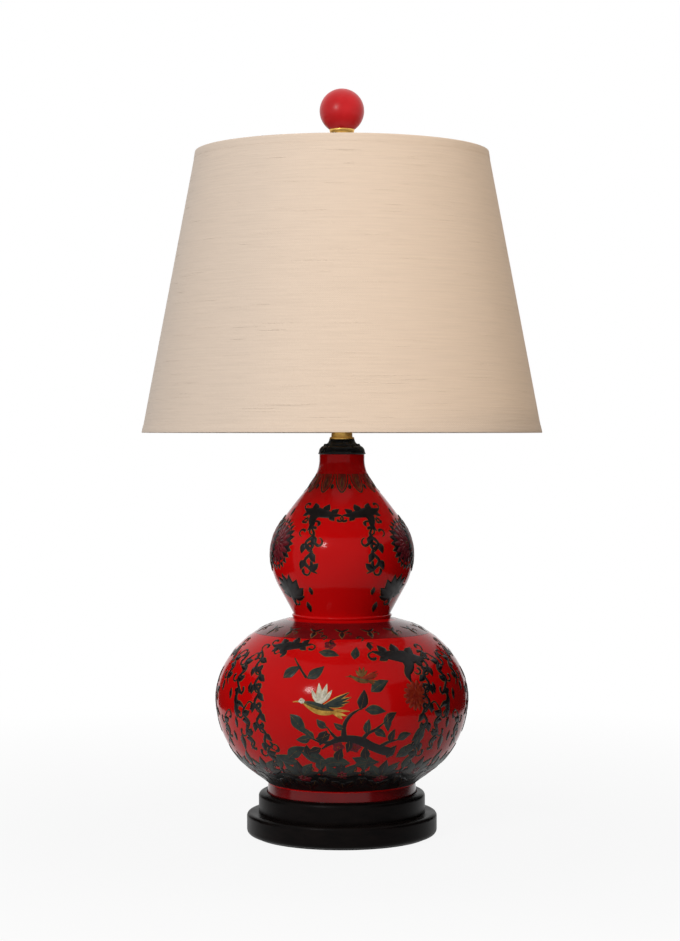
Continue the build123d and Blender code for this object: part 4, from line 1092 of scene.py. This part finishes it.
# %% Turned fittings
CAP_Z, NECK_Z, FINIAL_Z = 365.0, 378.7, 643.1
BORE = 5.35
cap_outline = (
    [(16.1, -6), (16.1, 0)]
    + fillet((22.1, 0), (16.1, 0), (22.1, 1.2), 0.3, 3)
    + arcs([(22.1, 1.2), (17.9, 7.4)], (0, 1), step=0.5)
    + fillet((16.4, 8.6), (17.9, 7.4), (15.6, 8.8), 0.2, 3)
    + arcs([(16.4, 8.6), (12.2, 13.7)], (-1, 0.25), step=0.5)[1:]
    + [(BORE, 13.7), (BORE, -6)]
)
fitting("turned_cap", cap_outline, CAP_Z, "cap_black", "black_cap", "vase_cap", crease=0.6)
neck_outline = (
    [(BORE, 0)] + fillet((11.1, 0), (5, 0), (11.1, 1.3), 0.25, 3)
    + fillet((11.1, 1.3), (11.1, 0), (10.4, 1.3), 0.25, 3)
    + [(10.4, 1.3), (10.16, 3.0), (9.98, 5.6), (9.9, 8.15), (9.98, 10.7), (10.16, 13.3), (10.4, 15.0)]
    + fillet((11.1, 15.0), (10.4, 15.0), (11.1, 16.3), 0.25, 3) + fillet((11.1, 16.3), (11.1, 15), (5, 16.3), 0.25, 3)
    + [(BORE, 16.3)]
)
fitting("turned_neck", neck_outline, NECK_Z, "brass", "brass", "brass_neck", crease=0.6)
SEAT_BEAD_R, SEAT_BEAD_HALF = 1.512, math.radians(97.1)
bead_arc = [
    (5.088 + SEAT_BEAD_R * math.cos(a), 12.5 + SEAT_BEAD_R * math.sin(a))
    for a in (SEAT_BEAD_HALF * (k / 8 - 1) for k in range(17))
]
seat_outline = (
    [(3.15, 0)] + fillet((9.6, 0), (3, 0), (9.6, 2.2), 0.3, 3) + [(9.6, 1.9)]
    + arcs([(4.9, 11), (9.6, 2.2)], (0, -1), step=0.6)[::-1] + bead_arc[1:-1]
    + arcs([(4.9, 14), (11.4, 28.6)], (0, 1), step=0.7)
    + fillet((11.4, 31), (11.4, 28.6), (2.6, 31), 0.4, 4) + [(2.6, 31), (2.6, 39), (0, 39), (0, 13.2), (3.15, 13.2)]
)
fitting("finial_seat", seat_outline, FINIAL_Z, "brass", "brass", "finial_base", body="finial", crease=0.6)
BALL_R, BALL_Z, FLAT = 21.3, 691.9, 17.8
start = -math.asin(FLAT / BALL_R)
ball_arc = [
    (BALL_R * math.cos(a), BALL_Z + BALL_R * math.sin(a))
    for a in (start + (math.pi / 2 - start) * k / 64 for k in range(64))
]
STUD_R, STUD_TOP = 2.65, 682.15
ball_outline = [(STUD_R, BALL_Z - FLAT)] + ball_arc + [(0, BALL_Z + BALL_R), (0, STUD_TOP), (STUD_R, STUD_TOP)]
fitting("ball", ball_outline, 0.0, "lacquer_red", "red_lacquer", "finial_ball", body="finial", steps=128, crease=0.7)

# %% [markdown]
# ## Finishes of the pieces that the CAD model gives
# These pieces keep their exact shape and only receive their finish.

# %% Dress the CAD pieces
WEARS = {
    "felt": ("felt_pad",),
    "wood_black": ("wood_base",),
    "moulded_black": ("cord_bushing", "switch_knob"),
    "rubber": ("foot_gasket",),
    "zinc": ("pipe_washer", "lock_washer", "bottom_nut", "lamp_pipe", "cap_set_screw", "terminal_screws",
             "switch_shaft"),
    "brass": ("harp_saddle", "saddle_nut", "socket_cap", "socket_shell", "screw_shell",
              "centre_contact", "harp", "ferrule_left", "ferrule_right"),
    "card": ("insulator",),
    "phenolic": ("socket_body", "bulb_insulator"),
    "bulb_metal": ("bulb_tip", "bulb_thread"),
    "bulb_white": ("bulb_body",),
    "diffuser": ("bulb_dome",),
    "board": ("led_board",),
    "led": ("leds",),
    "liner_white": ("shade_liner",),
    "wire_white": ("shade_washer", "shade_arms", "shade_top_ring", "shade_bottom_ring"),
}
for look, names in WEARS.items():
    for name in names:
        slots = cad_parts[name].data.materials
        slots.clear()
        slots.append(looks[look])
print("CAD pieces dressed:", sum(len(names) for names in WEARS.values()))

# %% [markdown]
# ## Studio
# A product picture is lit from the camera's left shoulder, by a small lamp that makes the highlights and
# a broad one above it, with a warm lamp at the right for the shade, and white all round. A glossy vase
# mirrors whatever stands there, so a black flag stands out of view at each side, as a photographer puts
# them: they give its round body dark edges.
# A third one, under the beam of the warm lamp, keeps that lamp on the shade and off the vase.
# The white floor and the white room still show in its shine and in the metal.

# %% Floor, world and lamps
def flat_card(name, corners, material):
    made = bpy.data.meshes.new(name)
    made.from_pydata(corners, [], [tuple(range(len(corners)))])
    made.materials.append(material)
    card = put(name, made)
    return card


def seen(tree):
    """1 for the rays that come from the camera, from mirrors and through glass, and 0 for the others."""
    path = node(tree, "ShaderNodeLightPath").outputs
    bounced = maths(tree, "MAXIMUM", path["Is Glossy Ray"], path["Is Transmission Ray"])
    return maths(tree, "MAXIMUM", path["Is Camera Ray"], bounced)


def white_where_seen(material, share):
    """Mix white light in for the rays that come from the camera, from mirrors and through glass."""
    tree = material.node_tree
    glow = node(tree, "ShaderNodeEmission", {"Color": (1, 1, 1, 1), "Strength": 1.0})
    mixed = node(tree, "ShaderNodeMixShader", {
        0: maths(tree, "MULTIPLY", seen(tree), share), 1: tree.nodes["Principled BSDF"],
        2: glow})
    tree.links.new(mixed.outputs[0], tree.nodes["Material Output"].inputs[0])


paper = finish("floor paper", paint(176, 176, 176), 0.9)
spot = node(paper.node_tree, "ShaderNodeTexCoord").outputs["Object"]
away = node(paper.node_tree, "ShaderNodeVectorMath", {0: spot}, operation="LENGTH").outputs["Value"]
NEAR, FAR, WHITE_NEAR, WHITE_FAR = 0.25, 1.0, 0.91, 1.0
whiter = node(paper.node_tree, "ShaderNodeMapRange", {0: away, 1: NEAR, 2: FAR, 3: WHITE_NEAR, 4: WHITE_FAR})
white_where_seen(paper, whiter)
flat_card("floor", [(-14, -9, 0), (14, -9, 0), (14, 14, 0), (-14, 14, 0)], paper)

black_cloth = dress(finish("black flag", paint(22, 20, 20), 0.95), shades=(20, paint(18, 17, 17), paint(27, 25, 25)))


def flag(name, low, high, base, top):
    """An upright black card, out of the picture."""
    stand = flat_card(name, [(*low, base), (*high, base), (*high, top), (*low, top)], black_cloth)
    stand.visible_camera = False


flag("flag_right", (0.66, -0.3), (0.46, 0.75), 0.0, 0.5)
flag("flag_left", (-0.72, -0.1), (-0.5, 0.8), 0.0, 0.45)
flag("flag_fill", (0.45, -0.52), (0.64, -0.2), 0.0, 0.5)

world = bpy.data.worlds.new("studio")
bpy.context.scene.world = world
world.use_nodes = True
sky = world.node_tree
ground = sky.nodes["Background"]
AMBIENT = 0.22
sky.links.new(maths(sky, "MULTIPLY_ADD", seen(sky), 1.0 - AMBIENT, AMBIENT), ground.inputs["Strength"])
ground.inputs["Color"].default_value = (1, 1, 1, 1)


def softbox(name, place, aim, size, watts):
    lamp = bpy.data.lights.new(name, "AREA")
    lamp.shape, lamp.size, lamp.size_y, lamp.energy = "RECTANGLE", size[0], size[1], watts
    box = put(name, lamp)
    box.location = place
    box.rotation_euler = (Vector(aim) - Vector(place)).to_track_quat("-Z", "Y").to_euler()
    box.visible_camera = False
    box.visible_glossy = name == "key"
    return box


softbox("key", (-1.15, -1.95, 1.2), (0, 0, 0.32), (0.3, 0.34), 15)
softbox("high", (-0.7, -2.0, 1.55), (0, 0, 0.34), (0.7, 0.7), 18)
softbox("fill", (2.0, -1.3, 1.0), (0, 0, 0.55), (0.5, 0.35), 20).data.color = (1.0, 0.82, 0.6)
softbox("top", (0.0, 0.4, 2.1), (0, 0, 0.4), (1.4, 1.4), 10)
print("lamps:", len(bpy.data.lights))
